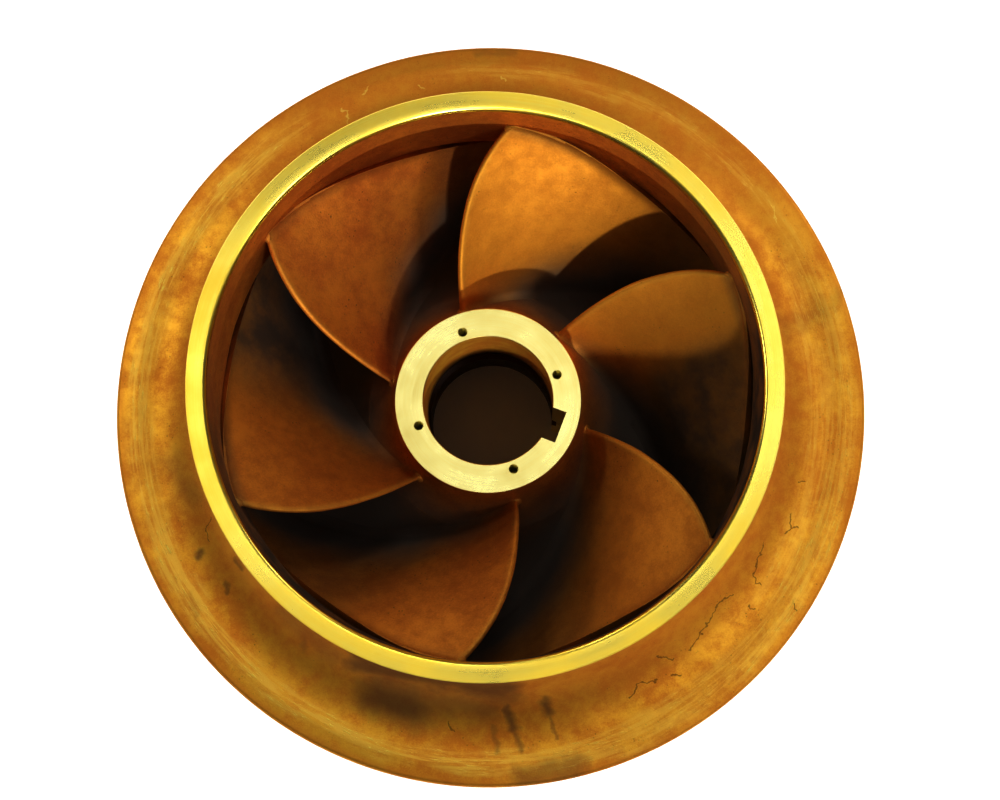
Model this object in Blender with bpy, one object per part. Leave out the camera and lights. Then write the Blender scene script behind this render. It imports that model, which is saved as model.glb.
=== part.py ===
"""Closed pump impeller in cast bronze, lying on its back with the eye up.

The impeller turns about +Z. Water enters at the eye, turns outward between the
front and the back shroud and leaves at the rim. Heights are measured from the
rear face of the hub, which is what the impeller rests on. All sizes are metres.
"""

import math

import bmesh
import bpy
import numpy as np
from mathutils import Matrix

# Rim, eye and overall heights
OUTER_RADIUS = 0.2235
EYE_RADIUS = 0.152
THROAT_RADIUS = 0.1513
RING_RADIUS = 0.1632
RING_TOP = 0.174
RING_SEAT = 0.150
RING_EDGE = 0.0006
RING_ROUND = 0.003

# Front shroud: a straight neck, a concave bell and a flat rim
RIM_TOP = 0.084
SHROUD_WALL = 0.008
BELL_TOP = 0.128
BELL_END_RADIUS = 0.204
RIM_ROUND = 0.003

# Back shroud and the waterway between the two shrouds
OUTLET_WIDTH = 0.056
BACK_WALL = 0.008
BACK_CHAMFER = 0.003
RECESS_OUTER_RADIUS = 0.120
RECESS_INNER_RADIUS = 0.080
RECESS_DEPTH = 0.012
BOSS_FILLET = 0.005

# Hub: a flared nose, a shoulder on the back shroud and a rear boss
HUB_LENGTH = 0.100
HUB_FACE_RADIUS = 0.0549
HUB_CURVE_POWER = 2.15
SHOULDER_HEIGHT = 0.060
BOSS_RADIUS = 0.062
HUB_CHAMFER = 0.0012

# Bore for a three inch shaft, relieved in the middle, with a three quarter inch key
BORE_RADIUS = 0.0381
RELIEF_RADIUS = 0.041
FRONT_LAND = 0.052
REAR_LAND = 0.026
RELIEF_SLOPE = 0.002
KEY_WIDTH = 0.01905
KEY_FLOOR = 0.0456
KEY_ANGLE = math.radians(-28.9)

# Four tapped holes in the front face of the hub
TAPPED_HOLES = 4
TAPPED_RADIUS = 0.00255
TAPPED_DEPTH = 0.022
TAPPED_CIRCLE = 0.0433
TAPPED_ANGLE = math.radians(12.3)

# Vanes: where the first one starts, how it leans and how far it wraps
VANES = 6
ROOT_RADIUS = 0.060
TIP_HEIGHT = 0.144
ROOT_ANGLE = math.radians(156.9)
EDGE_LEAN = math.radians(20.0)
EDGE_LEAN_CURVED = 0.25
EDGE_BOW = 0.0085
WRAP = math.radians(118.0)
WRAP_EARLY = (0.54, 0.38)
WRAP_FLAT_MIDDLE = (0.37, 0.0)
VANE_THICKNESS = 0.0075
NOSE_THICKNESS = 0.0038
NOSE_TAPER = 0.16
NOSE_LENGTH = 0.0022
NOSE_TURNS = (45, 90, 135)

# How finely the shapes are divided
SEGMENTS = 72
ARC_STEPS = 7
EDGE_STEPS = 3
RIM_STEPS = 2
NOSE_STEPS = 8
PLATE_STEPS = 12
GUIDE_STEPS = 60
VANE_STATIONS = 15
VANE_LAYERS = 7
STATION_CROWDING = 1.25
PROBE_STEP = 0.002
HOLE_SIDES = 16
SHARP_ANGLE = math.radians(35)

# Room left between curved faces that meet, and how far cutters and vanes overshoot
SEAT_GAP = 0.0003
OVERSHOOT = 0.004
VANE_OVERLAP = 0.10
RIM_OVERLAP = 0.036

# Finishes: base colour, metallic, roughness
FINISHES = {
    "turned_bronze": ((0.86, 0.60, 0.17), 1.0, 0.30),
    "cast_bronze": ((0.42, 0.21, 0.045), 0.85, 0.55),
    "waterway_bronze": ((0.30, 0.13, 0.03), 0.75, 0.60),
}


def clear_scene():
    """Remove every object, so that the file holds only the impeller."""
    for old in list(bpy.data.objects):
        bpy.data.objects.remove(old, do_unlink=True)


def finish(name):
    """Return the named bronze finish, made once and shared."""
    known = bpy.data.materials.get(name)
    if known:
        return known
    colour, metallic, roughness = FINISHES[name]
    material = bpy.data.materials.new(name)
    material.use_nodes = True
    shader = material.node_tree.nodes["Principled BSDF"]
    shader.inputs["Base Color"].default_value = (*colour, 1.0)
    shader.inputs["Metallic"].default_value = metallic
    shader.inputs["Roughness"].default_value = roughness
    material.diffuse_color = (*colour, 1.0)
    return material


def arc(centre, radii, start, end, steps):
    """Points on an elliptical arc in the section plane, both ends included."""
    angles = np.radians(np.linspace(start, end, steps + 1))
    return [(centre[0] + radii[0] * math.cos(a), centre[1] + radii[1] * math.sin(a)) for a in angles]


def hub_turn(radius):
    """How far round the hub curve a radius lies, from 0 at the face to a quarter turn."""
    share = (OUTER_RADIUS - radius) / (OUTER_RADIUS - HUB_FACE_RADIUS)
    return math.acos(share ** (HUB_CURVE_POWER / 2))


def hub_curve(steps, start_radius=HUB_FACE_RADIUS, end_radius=OUTER_RADIUS):
    """The waterway's inner wall in section, from the hub face out to the rim."""
    reach = OUTER_RADIUS - HUB_FACE_RADIUS
    drop = HUB_LENGTH - (RIM_TOP - SHROUD_WALL - OUTLET_WIDTH)
    points = []
    for turn in np.linspace(hub_turn(start_radius), hub_turn(end_radius), steps + 1):
        radius = OUTER_RADIUS - reach * max(math.cos(turn), 0.0) ** (2 / HUB_CURVE_POWER)
        height = HUB_LENGTH - drop * math.sin(turn) ** (2 / HUB_CURVE_POWER)
        points.append((radius, height))
    return points


def shroud_curve(steps):
    """The waterway's outer wall in section, from the ring's seat out to the rim."""
    radii = (BELL_END_RADIUS - THROAT_RADIUS, BELL_TOP - RIM_TOP + SHROUD_WALL)
    bend = arc((BELL_END_RADIUS, BELL_TOP), radii, 180, 270, steps)
    return [(EYE_RADIUS, RING_SEAT)] + bend + [(OUTER_RADIUS, RIM_TOP - SHROUD_WALL)]


def shoulder_radius():
    """Radius at which the hub curve passes the height of the hub's shoulder."""
    drop = HUB_LENGTH - (RIM_TOP - SHROUD_WALL - OUTLET_WIDTH)
    fall = ((HUB_LENGTH - SHOULDER_HEIGHT) / drop) ** HUB_CURVE_POWER
    return OUTER_RADIUS - (OUTER_RADIUS - HUB_FACE_RADIUS) * (1 - fall) ** (1 / HUB_CURVE_POWER)


def nose_curve():
    """The part of the waterway's inner wall that belongs to the hub."""
    return hub_curve(NOSE_STEPS, HUB_FACE_RADIUS, shoulder_radius())


def plate_curve():
    """The part of the waterway's inner wall that belongs to the back shroud."""
    return hub_curve(PLATE_STEPS, shoulder_radius())


def shifted(points, distance):
    """Move a section line sideways, to the left of the way that it runs."""
    line = np.array(points)
    runs = np.diff(line, axis=0)
    runs /= np.linalg.norm(runs, axis=1)[:, None]
    before = np.vstack([runs[:1], runs])
    after = np.vstack([runs, runs[-1:]])
    middle = before + after
    middle /= np.linalg.norm(middle, axis=1)[:, None]
    sideways = np.column_stack([-middle[:, 1], middle[:, 0]])
    stretch = 1.0 / np.sum(middle * after, axis=1)
    return [tuple(p) for p in line + sideways * distance * stretch[:, None]]


def add_object(name, mesh):
    """Link a mesh to the scene as an object of its own."""
    piece = bpy.data.objects.new(name, mesh)
    bpy.context.scene.collection.objects.link(piece)
    return piece


def as_cutter(piece):
    """Mark an object as a cutter, which is no part of the impeller itself."""
    piece.hide_render = True
    piece.display_type = "WIRE"
    return piece


def turned(name, outline, finish_name=None):
    """Turn a closed section about the axis. It runs down its outer side."""
    mesh = bpy.data.meshes.new(name)
    corners = [(radius, 0.0, height) for radius, height in outline]
    edges = [(i, (i + 1) % len(corners)) for i in range(len(corners))]
    mesh.from_pydata(corners, edges, [])
    if finish_name:
        mesh.materials.append(finish(finish_name))
    piece = add_object(name, mesh)
    screw = piece.modifiers.new("Turn", "SCREW")
    screw.axis = "Z"
    screw.angle = math.tau
    screw.steps = SEGMENTS
    screw.render_steps = SEGMENTS
    screw.use_merge_vertices = True
    screw.merge_threshold = 0.00001
    screw.use_smooth_shade = True
    return piece


def cut(piece, cutter, operation="DIFFERENCE"):
    """Cut a piece with another object and keep the cut as a modifier."""
    boolean = piece.modifiers.new(operation.title(), "BOOLEAN")
    boolean.operation = operation
    boolean.solver = "EXACT"
    boolean.object = cutter


def eye_ring():
    """The turned ring around the eye, with a rounded inner edge."""
    centre = (EYE_RADIUS + RING_ROUND, RING_TOP - RING_ROUND)
    inner_edge = arc(centre, (RING_ROUND, RING_ROUND), 180, 90, EDGE_STEPS)
    outline = [
        (RING_RADIUS - RING_EDGE, RING_TOP),
        (RING_RADIUS, RING_TOP - RING_EDGE),
        (RING_RADIUS, RING_SEAT),
        (EYE_RADIUS, RING_SEAT),
    ]
    return turned("eye_ring", outline + inner_edge, "turned_bronze")


def shroud_neck():
    """The straight neck between the ring's seat and the bell."""
    outline = [
        (RING_RADIUS, RING_SEAT),
        (RING_RADIUS, BELL_TOP),
        (THROAT_RADIUS, BELL_TOP),
        (EYE_RADIUS, RING_SEAT),
    ]
    return turned("shroud_neck", outline, "cast_bronze")


def front_shroud():
    """The bell that carries the neck and closes the vanes toward the eye."""
    radii = (BELL_END_RADIUS - RING_RADIUS, BELL_TOP - RIM_TOP)
    bell = arc((BELL_END_RADIUS, BELL_TOP), radii, 180, 270, ARC_STEPS)
    centre = (OUTER_RADIUS - RIM_ROUND, RIM_TOP - RIM_ROUND)
    rim = arc(centre, (RIM_ROUND, RIM_ROUND), 90, 0, RIM_STEPS)
    waterway = list(reversed(shroud_curve(ARC_STEPS)[1:]))
    return turned("front_shroud", bell + rim + waterway, "cast_bronze")


def back_shroud():
    """The plate behind the vanes, with a shallow recess around the rear boss."""
    back = RIM_TOP - SHROUD_WALL - OUTLET_WIDTH - BACK_WALL
    seat = BOSS_RADIUS + SEAT_GAP
    rear = [
        (OUTER_RADIUS, back + BACK_CHAMFER),
        (OUTER_RADIUS - BACK_CHAMFER, back),
        (RECESS_OUTER_RADIUS, back),
        (RECESS_INNER_RADIUS, back + RECESS_DEPTH),
        (seat + BOSS_FILLET, back + RECESS_DEPTH),
        (seat, back + RECESS_DEPTH - BOSS_FILLET),
        (seat, SHOULDER_HEIGHT),
    ]
    return turned("back_shroud", plate_curve() + rear, "cast_bronze")


def passage():
    """The waterway as a solid, a seat gap clear of its walls, for trimming vanes."""
    outer = shifted(shroud_curve(ARC_STEPS), -SEAT_GAP)
    inner = shifted(nose_curve() + plate_curve()[1:], SEAT_GAP)
    outer[-1] = (OUTER_RADIUS, outer[-1][1])
    inner[-1] = (OUTER_RADIUS, inner[-1][1])
    roof = [(inner[0][0], RING_SEAT)]
    return as_cutter(turned("passage_cutter", outer + list(reversed(inner)) + roof))


def keyway_cutter():
    """A bar through the bore, as wide as the key."""
    length = HUB_LENGTH + 2 * OVERSHOOT
    start = BORE_RADIUS / 2
    shape = bmesh.new()
    size = Matrix.Diagonal((KEY_FLOOR - start, KEY_WIDTH, length, 1.0))
    place = Matrix.Translation(((KEY_FLOOR + start) / 2, 0.0, HUB_LENGTH / 2))
    turn = Matrix.Rotation(KEY_ANGLE, 4, "Z")
    bmesh.ops.create_cube(shape, size=1.0, matrix=turn @ place @ size)
    mesh = bpy.data.meshes.new("keyway_cutter")
    shape.to_mesh(mesh)
    shape.free()
    return as_cutter(add_object("keyway_cutter", mesh))


def tapped_hole_cutter(index):
    """One drill, standing in the front face of the hub."""
    angle = TAPPED_ANGLE + index * math.tau / TAPPED_HOLES
    length = TAPPED_DEPTH + OVERSHOOT
    middle = HUB_LENGTH + OVERSHOOT - length / 2
    place = Matrix.Rotation(angle, 4, "Z") @ Matrix.Translation((TAPPED_CIRCLE, 0.0, middle))
    shape = bmesh.new()
    bmesh.ops.create_cone(
        shape,
        cap_ends=True,
        segments=HOLE_SIDES,
        radius1=TAPPED_RADIUS,
        radius2=TAPPED_RADIUS,
        depth=length,
        matrix=place,
    )
    mesh = bpy.data.meshes.new("tapped_hole_cutter")
    shape.to_mesh(mesh)
    shape.free()
    return as_cutter(add_object("tapped_hole_cutter", mesh))


def hub():
    """The hub, with its shoulder, its relieved bore, keyway and tapped holes."""
    outside = [
        (HUB_FACE_RADIUS - HUB_CHAMFER, HUB_LENGTH),
        (HUB_FACE_RADIUS, HUB_LENGTH - HUB_CHAMFER),
        *nose_curve()[1:],
        (BOSS_RADIUS, SHOULDER_HEIGHT),
        (BOSS_RADIUS, HUB_CHAMFER),
        (BOSS_RADIUS - HUB_CHAMFER, 0.0),
    ]
    bore = [
        (BORE_RADIUS + HUB_CHAMFER, 0.0),
        (BORE_RADIUS, HUB_CHAMFER),
        (BORE_RADIUS, REAR_LAND),
        (RELIEF_RADIUS, REAR_LAND + RELIEF_SLOPE),
        (RELIEF_RADIUS, HUB_LENGTH - FRONT_LAND - RELIEF_SLOPE),
        (BORE_RADIUS, HUB_LENGTH - FRONT_LAND),
        (BORE_RADIUS, HUB_LENGTH - HUB_CHAMFER),
        (BORE_RADIUS + HUB_CHAMFER, HUB_LENGTH),
    ]
    piece = turned("hub", outside + bore, "turned_bronze")
    cut(piece, keyway_cutter())
    for index in range(TAPPED_HOLES):
        cut(piece, tapped_hole_cutter(index))
    return piece


def walk(line, share):
    """The point at a share of a section line's length, and beyond its end."""
    line = np.array(line)
    lengths = np.concatenate([[0.0], np.cumsum(np.linalg.norm(np.diff(line, axis=0), axis=1))])
    reach = share * lengths[-1]
    point = np.array([np.interp(reach, lengths, line[:, axis]) for axis in range(2)])
    past = max(reach - lengths[-1], 0.0)
    end = (line[-1] - line[-2]) / np.linalg.norm(line[-1] - line[-2])
    return point + past * end


def vane_point(flow, span):
    """A point on the middle of a vane, before the vane is placed.

    Flow runs from 0 at the leading edge to 1 at the rim, and span from 0 at the
    hub to 1 at the front shroud.
    """
    hub_line = hub_curve(GUIDE_STEPS, ROOT_RADIUS)
    shroud_line = shroud_curve(GUIDE_STEPS)
    shroud_line[0] = (THROAT_RADIUS, TIP_HEIGHT)
    root = walk(hub_line, flow)
    tip = walk(shroud_line, flow)
    radius, height = root + span * (tip - root)
    height += EDGE_BOW * 4 * span * (1 - span) * (1 - flow) ** 2
    lean = EDGE_LEAN * ((1 - EDGE_LEAN_CURVED) * span + EDGE_LEAN_CURVED * span**3)
    early = WRAP_EARLY[0] + span * (WRAP_EARLY[1] - WRAP_EARLY[0])
    flat_middle = WRAP_FLAT_MIDDLE[0] + span * (WRAP_FLAT_MIDDLE[1] - WRAP_FLAT_MIDDLE[0])
    bend = flow * (1 - flow)
    share = flow + early * bend + flat_middle * bend * (1 - 2 * flow)
    angle = -lean - (WRAP - lean) * share
    return np.array([radius * math.cos(angle), radius * math.sin(angle), height])


def vane_frame(flow, span):
    """The way along the vane and the way out of its face at one point."""
    along = vane_point(flow + PROBE_STEP, span) - vane_point(max(flow - PROBE_STEP, 0.0), span)
    across = vane_point(flow, span + PROBE_STEP) - vane_point(flow, span - PROBE_STEP)
    outward = np.cross(along, across)
    return along / np.linalg.norm(along), outward / np.linalg.norm(outward)


def vane_loop(span):
    """The closed outline of the vane at one span, around its nose."""
    upper = []
    lower = []
    for flow in np.linspace(0.0, 1.0 + RIM_OVERLAP, VANE_STATIONS) ** STATION_CROWDING:
        middle = vane_point(flow, span)
        _, outward = vane_frame(flow, span)
        growth = min(flow / NOSE_TAPER, 1.0)
        growth = growth * growth * (3 - 2 * growth)
        half = (NOSE_THICKNESS + (VANE_THICKNESS - NOSE_THICKNESS) * growth) / 2
        upper.append(middle + outward * half)
        lower.append(middle - outward * half)
    middle = vane_point(0.0, span)
    along, outward = vane_frame(0.0, span)
    nose = []
    for turn in NOSE_TURNS:
        side = math.cos(math.radians(turn)) * NOSE_THICKNESS / 2
        ahead = math.sin(math.radians(turn)) * NOSE_LENGTH
        nose.append(middle + outward * side - along * ahead)
    return list(reversed(upper)) + nose + lower


def close_end(shape, loop):
    """Close one end of a vane with a strip of faces from the rim to the nose."""
    tip = len(loop) // 2
    for i in range(tip - 1):
        shape.faces.new((loop[i], loop[i + 1], loop[-2 - i], loop[-1 - i]))
    shape.faces.new((loop[tip - 1], loop[tip], loop[tip + 1]))


def vane_mesh():
    """One vane, a little longer than the waterway on every side but its nose."""
    shape = bmesh.new()
    spans = np.linspace(-VANE_OVERLAP, 1.0 + VANE_OVERLAP, VANE_LAYERS)
    loops = [[shape.verts.new(point) for point in vane_loop(span)] for span in spans]
    count = len(loops[0])
    for lower, upper in zip(loops, loops[1:]):
        for i in range(count):
            following = (i + 1) % count
            shape.faces.new((lower[i], lower[following], upper[following], upper[i]))
    close_end(shape, loops[0])
    close_end(shape, loops[-1])
    bmesh.ops.recalc_face_normals(shape, faces=shape.faces)
    bmesh.ops.triangulate(shape, faces=shape.faces)
    mesh = bpy.data.meshes.new("vane")
    shape.to_mesh(mesh)
    shape.free()
    mesh.shade_smooth()
    mesh.set_sharp_from_angle(angle=SHARP_ANGLE)
    mesh.materials.append(finish("waterway_bronze"))
    return mesh


def vanes():
    """Six like vanes, evenly spaced, trimmed by the waterway's walls."""
    waterway = passage()
    shared = vane_mesh()
    for index in range(VANES):
        piece = add_object(f"vane_{index + 1}", shared)
        piece.rotation_euler.z = ROOT_ANGLE - index * math.tau / VANES
        cut(piece, waterway, "INTERSECT")


def main():
    clear_scene()
    eye_ring()
    shroud_neck()
    front_shroud()
    back_shroud()
    hub()
    vanes()


main()
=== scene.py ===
"""Finished surfaces and studio for a closed bronze pump impeller.

The impeller lies on its back with the eye up and turns about +Z. The solids that
carry its sizes come from the frame; this file dresses each of them with a finely
divided surface, the cast fillets of its vanes and its bronze finishes.
"""

import math

import bpy
import numpy as np
from mathutils import Matrix, Vector, noise


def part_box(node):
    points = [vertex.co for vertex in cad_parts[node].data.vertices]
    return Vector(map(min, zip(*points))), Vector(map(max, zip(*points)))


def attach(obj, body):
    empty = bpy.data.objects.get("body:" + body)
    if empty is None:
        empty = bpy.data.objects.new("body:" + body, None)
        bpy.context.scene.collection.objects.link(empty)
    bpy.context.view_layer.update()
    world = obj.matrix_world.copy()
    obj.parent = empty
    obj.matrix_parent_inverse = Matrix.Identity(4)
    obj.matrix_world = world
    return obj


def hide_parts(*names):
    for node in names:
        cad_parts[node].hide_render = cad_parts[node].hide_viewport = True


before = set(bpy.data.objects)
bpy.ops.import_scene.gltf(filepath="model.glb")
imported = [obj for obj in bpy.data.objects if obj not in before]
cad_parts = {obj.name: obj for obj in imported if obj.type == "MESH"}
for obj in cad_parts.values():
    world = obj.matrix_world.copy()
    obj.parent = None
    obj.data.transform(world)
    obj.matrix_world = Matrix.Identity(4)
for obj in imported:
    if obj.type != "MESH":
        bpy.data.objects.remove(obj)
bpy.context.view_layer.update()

bl_info = {
    "name": "Pump impeller",
    "version": (1, 0, 0),
    "blender": (4, 5, 0),
    "location": "View3D > Sidebar > Impeller",
    "description": "Dresses a closed bronze pump impeller and sets up its studio",
    "category": "Add Mesh",
}

# Sizes that the frame holds, in metres, with heights from the rear face of the hub
OUTER_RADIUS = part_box("front_shroud")[1].x
RIM_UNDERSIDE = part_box("front_shroud")[0].z
BELL_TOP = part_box("front_shroud")[1].z
RING_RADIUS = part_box("eye_ring")[1].x
RING_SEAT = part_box("eye_ring")[0].z
RING_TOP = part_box("eye_ring")[1].z
BACK_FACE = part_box("back_shroud")[0].z
SHOULDER_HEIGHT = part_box("back_shroud")[1].z
HUB_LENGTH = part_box("hub")[1].z

# Sizes of the same solids that no box gives
EYE_RADIUS = 0.152
THROAT_RADIUS = 0.1513
RIM_TOP = 0.084
BELL_END_RADIUS = 0.204
BACK_WALL = 0.008
RECESS_OUTER_RADIUS = 0.120
RECESS_INNER_RADIUS = 0.080
RECESS_DEPTH = 0.012
BOSS_FILLET = 0.005
BOSS_RADIUS = 0.062
SEAT_GAP = 0.0003
HUB_FACE_RADIUS = 0.0549
HUB_CURVE_POWER = 2.15
BORE_RADIUS = 0.0381
RELIEF_RADIUS = 0.041
FRONT_LAND = 0.052
REAR_LAND = 0.026
RELIEF_SLOPE = 0.002
KEY_WIDTH = 0.01905
KEY_FLOOR = 0.0456
KEY_ANGLE = math.radians(-28.9)
TAPPED_HOLES = 4
TAPPED_RADIUS = 0.00255
TAPPED_DEPTH = 0.022
TAPPED_CIRCLE = 0.0433
TAPPED_ANGLE = math.radians(12.3)

# The vanes, as the frame has them
VANES = 6
ROOT_RADIUS = 0.060
TIP_HEIGHT = 0.144
ROOT_ANGLE = math.radians(156.9)
EDGE_LEAN = math.radians(20.0)
EDGE_LEAN_CURVED = 0.25
EDGE_BOW = 0.0085
WRAP = math.radians(118.0)
WRAP_EARLY = (0.54, 0.38)
WRAP_FLAT_MIDDLE = (0.37, 0.0)
VANE_THICKNESS = 0.0075
NOSE_THICKNESS = 0.0038
NOSE_TAPER = 0.16
NOSE_LENGTH = 0.0022
FILLET_TAPER = 0.22

# How finely the surfaces are divided
TURNED_STEPS = 288
GUIDE_STEPS = 60
CAST_PITCH = 0.0018
VANE_STATIONS = 120
VANE_LAYERS = 44
NOSE_STEPS = 9
THREAD_SIDES = 32
FADE_ROWS = 5
SHARP_ANGLE = math.radians(38)
PROBE_STEP = 0.002
OVERSHOOT = 0.004

# How near an edge or a wall counts as near. Then each vane: how much painted light it gets, how dark its painted
# shade is, and the degrees behind its root at which the painted shade starts and is full
EDGE_REACH = 0.01
# The side of the throat wall kept free of painted shade
THROAT_LIT_SIDE = math.radians(97)
VANE_TONES = (
    (0.0, 0.40, 58, 70),
    (0.5, 0.50, 52, 64),
    (0.45, 0.72, 27, 38),
    (0.3, 0.25, 40, 60),
    (0.15, 0.25, 40, 60),
    (0.15, 0.80, 38, 62),
)

# Marks on the front shroud, each from one point to another, given as degrees round the axis and
# millimetres from it, with its width in millimetres and its strength
# The stain marks beside the ring, between -94 and -142 degrees, are painted shade; the others are real stain marks.
STAINS_AND_SHADE = (
    (-111, 183, -118, 181, 44.0, 0.80),
    (-94, 168, -124, 169, 30.0, 0.80),
    (-98, 178, -112, 176, 34.0, 0.50),
    (-85, 219, -93, 218, 22.0, 0.45),
    (-128, 172, -142, 171, 22.0, 0.30),
    (8, 205, 6, 184, 26.0, 0.18),
    (-178, 192, -171, 186, 28.0, 0.28),
)
DRIPS = (
    (-86.5, 200, -87, 184, 4.0, 0.40),
    (-87, 183, -87.3, 178, 11.0, 0.72),
    (-92.5, 203, -93.3, 190, 6.5, 0.50),
    (-93.5, 190, -94.5, 179, 10.5, 0.72),
    (-96.5, 203, -97, 188, 6.0, 0.35),
    (-160, 193, -160.5, 191, 9.0, 0.75),
    (-152, 189, -153, 187, 5.5, 0.55),
    (-153.5, 173, -155.5, 173.5, 6.0, 0.55),
    (-152, 211, -155, 209, 9.0, 0.20),
    (-134.5, 178, -135.5, 172, 8.0, 0.30),
    (10, 222, 8, 214, 13.0, 0.20),
    (84, 219, 78, 220, 9.0, 0.25),
)
CRACKS = (
    ((-30, 196), (-30.5, 192), (-28.5, 189)),
    ((-30.5, 192), (-32, 190)),
    ((-42, 192), (-42.5, 189), (-41.5, 185), (-39, 182.5), (-35.5, 181.5)),
    ((-46.5, 181), (-50, 178.5), (-53, 181), (-56, 183.5), (-59, 185.5)),
    ((-46, 197), (-46.2, 193)),
    ((-42.5, 217), (-41.5, 213.5)),
    ((-22, 193), (-22.5, 188)),
    ((-62.5, 184), (-64.5, 178)),
    ((-63, 195), (-64.5, 191)),
    ((-67, 190), (-70, 185.5), (-72.5, 190.5)),
    ((-161.5, 183), (-163.5, 183), (-165, 176)),
    ((-104, 193), (-105, 188)),
)
BRIGHT_SCRATCHES = (
    ((108.5, 205), (107.5, 202), (108.5, 195)),
    ((102.5, 211.5), (104, 208)),
    ((94.5, 203), (93.5, 199.5)),
    ((80, 204), (79, 201)),
    ((27, 210), (24.5, 205.5)),
)
CRACK_WIDTH = 0.0011

# Rubbed stretches of the rim's band: degrees round the axis, degrees to either side, radii at
# which they start and end, and strength
RUBBED_BANDS = (
    (-125, 38, 0.2035, 0.2150, 0.95),
    (165, 45, 0.2020, 0.2150, 0.80),
    (-55, 30, 0.2020, 0.2180, 0.70),
    (-15, 30, 0.1900, 0.2170, 0.45),
    (40, 45, 0.2040, 0.2120, 0.45),
)

# The studio: widths and heights of its softboxes, then the lights on the waterway and those on
# the ring and on the outside of the shroud, with their directions round the axis and leans from it in degrees
# and their shares of the key power
KEY_BOX = (0.12, 0.12)
FILL_BOX = (0.6, 0.6)
STRIP_BOX = (1.34, 0.7)
FLOOR_BOX = (1.5, 1.5)
INSIDE_LIGHTS = {
    "key": (-88, 59, 1.15),
    "inside_right": (-45, 50, 0.66),
    "inside_behind": (72, 38, 0.34),
    "inside_low_behind": (105, 70, 0.30),
    "inside_low_left": (165, 70, 0.40),
    "inside_low_right": (45, 80, 0.27),
    "inside_above": (22, 26, 0.13),
}
RING_LIGHTS = {
    "ring_front": (-105, 26, 0.60),
    "ring_left": (150, 24, 0.12),
    "ring_right": (-40, 26, 0.20),
}
OUTSIDE_LIGHTS = {
    "outside_right": (30, 60, 0.64),
    "outside_left": (146, 42, 0.95),
    "outside_front": (-45, 50, 0.50),
    "outside_above": (-18, 22, 0.55),
}


class ImpellerSizes(bpy.types.PropertyGroup):
    """Sizes of the finished surfaces."""

    fillet_radius: bpy.props.FloatProperty(
        name="Fillet radius", description="Radius of the cast fillets along both ends of a vane",
        default=0.0065, min=0.001, max=0.015, unit="LENGTH")
    nose_fillet: bpy.props.FloatProperty(
        name="Nose fillet", description="Radius of the same fillets at the leading edge",
        default=0.0022, min=0.0005, max=0.01, unit="LENGTH")
    waves: bpy.props.FloatProperty(
        name="Casting waves", description="How far cast faces stray from their true form",
        default=0.0003, min=0.0, max=0.002, unit="LENGTH")
    wave_size: bpy.props.FloatProperty(
        name="Wave size", description="Distance from one casting wave to the next",
        default=0.022, min=0.005, max=0.1, unit="LENGTH")
    ring_round: bpy.props.FloatProperty(
        name="Ring inner round", description="Radius of the inner edge of the eye ring",
        default=0.003, min=0.0005, max=0.004, unit="LENGTH")
    ring_edge: bpy.props.FloatProperty(
        name="Ring outer edge", description="Chamfer of the outer edge of the eye ring",
        default=0.0006, min=0.0001, max=0.002, unit="LENGTH")
    hub_chamfer: bpy.props.FloatProperty(
        name="Hub chamfer", description="Chamfer of the hub's faces at its edge and its bore",
        default=0.0004, min=0.0002, max=0.003, unit="LENGTH")
    rim_band: bpy.props.FloatProperty(
        name="Rim band end", description="Radius at which the flat turned band near the rim ends",
        default=0.2115, min=0.206, max=0.218, unit="LENGTH")
    rim_fall: bpy.props.FloatProperty(
        name="Rim fall", description="How far the rim falls from the turned band to its edge",
        default=0.0012, min=0.0, max=0.004, unit="LENGTH")
    rim_round: bpy.props.FloatProperty(
        name="Rim round", description="Radius of the edges of the rim",
        default=0.003, min=0.001, max=0.004, unit="LENGTH")
    thread_pitch: bpy.props.FloatProperty(
        name="Thread pitch", description="Pitch of the thread in the tapped holes",
        default=0.00127, min=0.0005, max=0.002, unit="LENGTH")
    thread_depth: bpy.props.FloatProperty(
        name="Thread depth", description="Depth of the thread in the tapped holes",
        default=0.00045, min=0.0001, max=0.001, unit="LENGTH")


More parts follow.
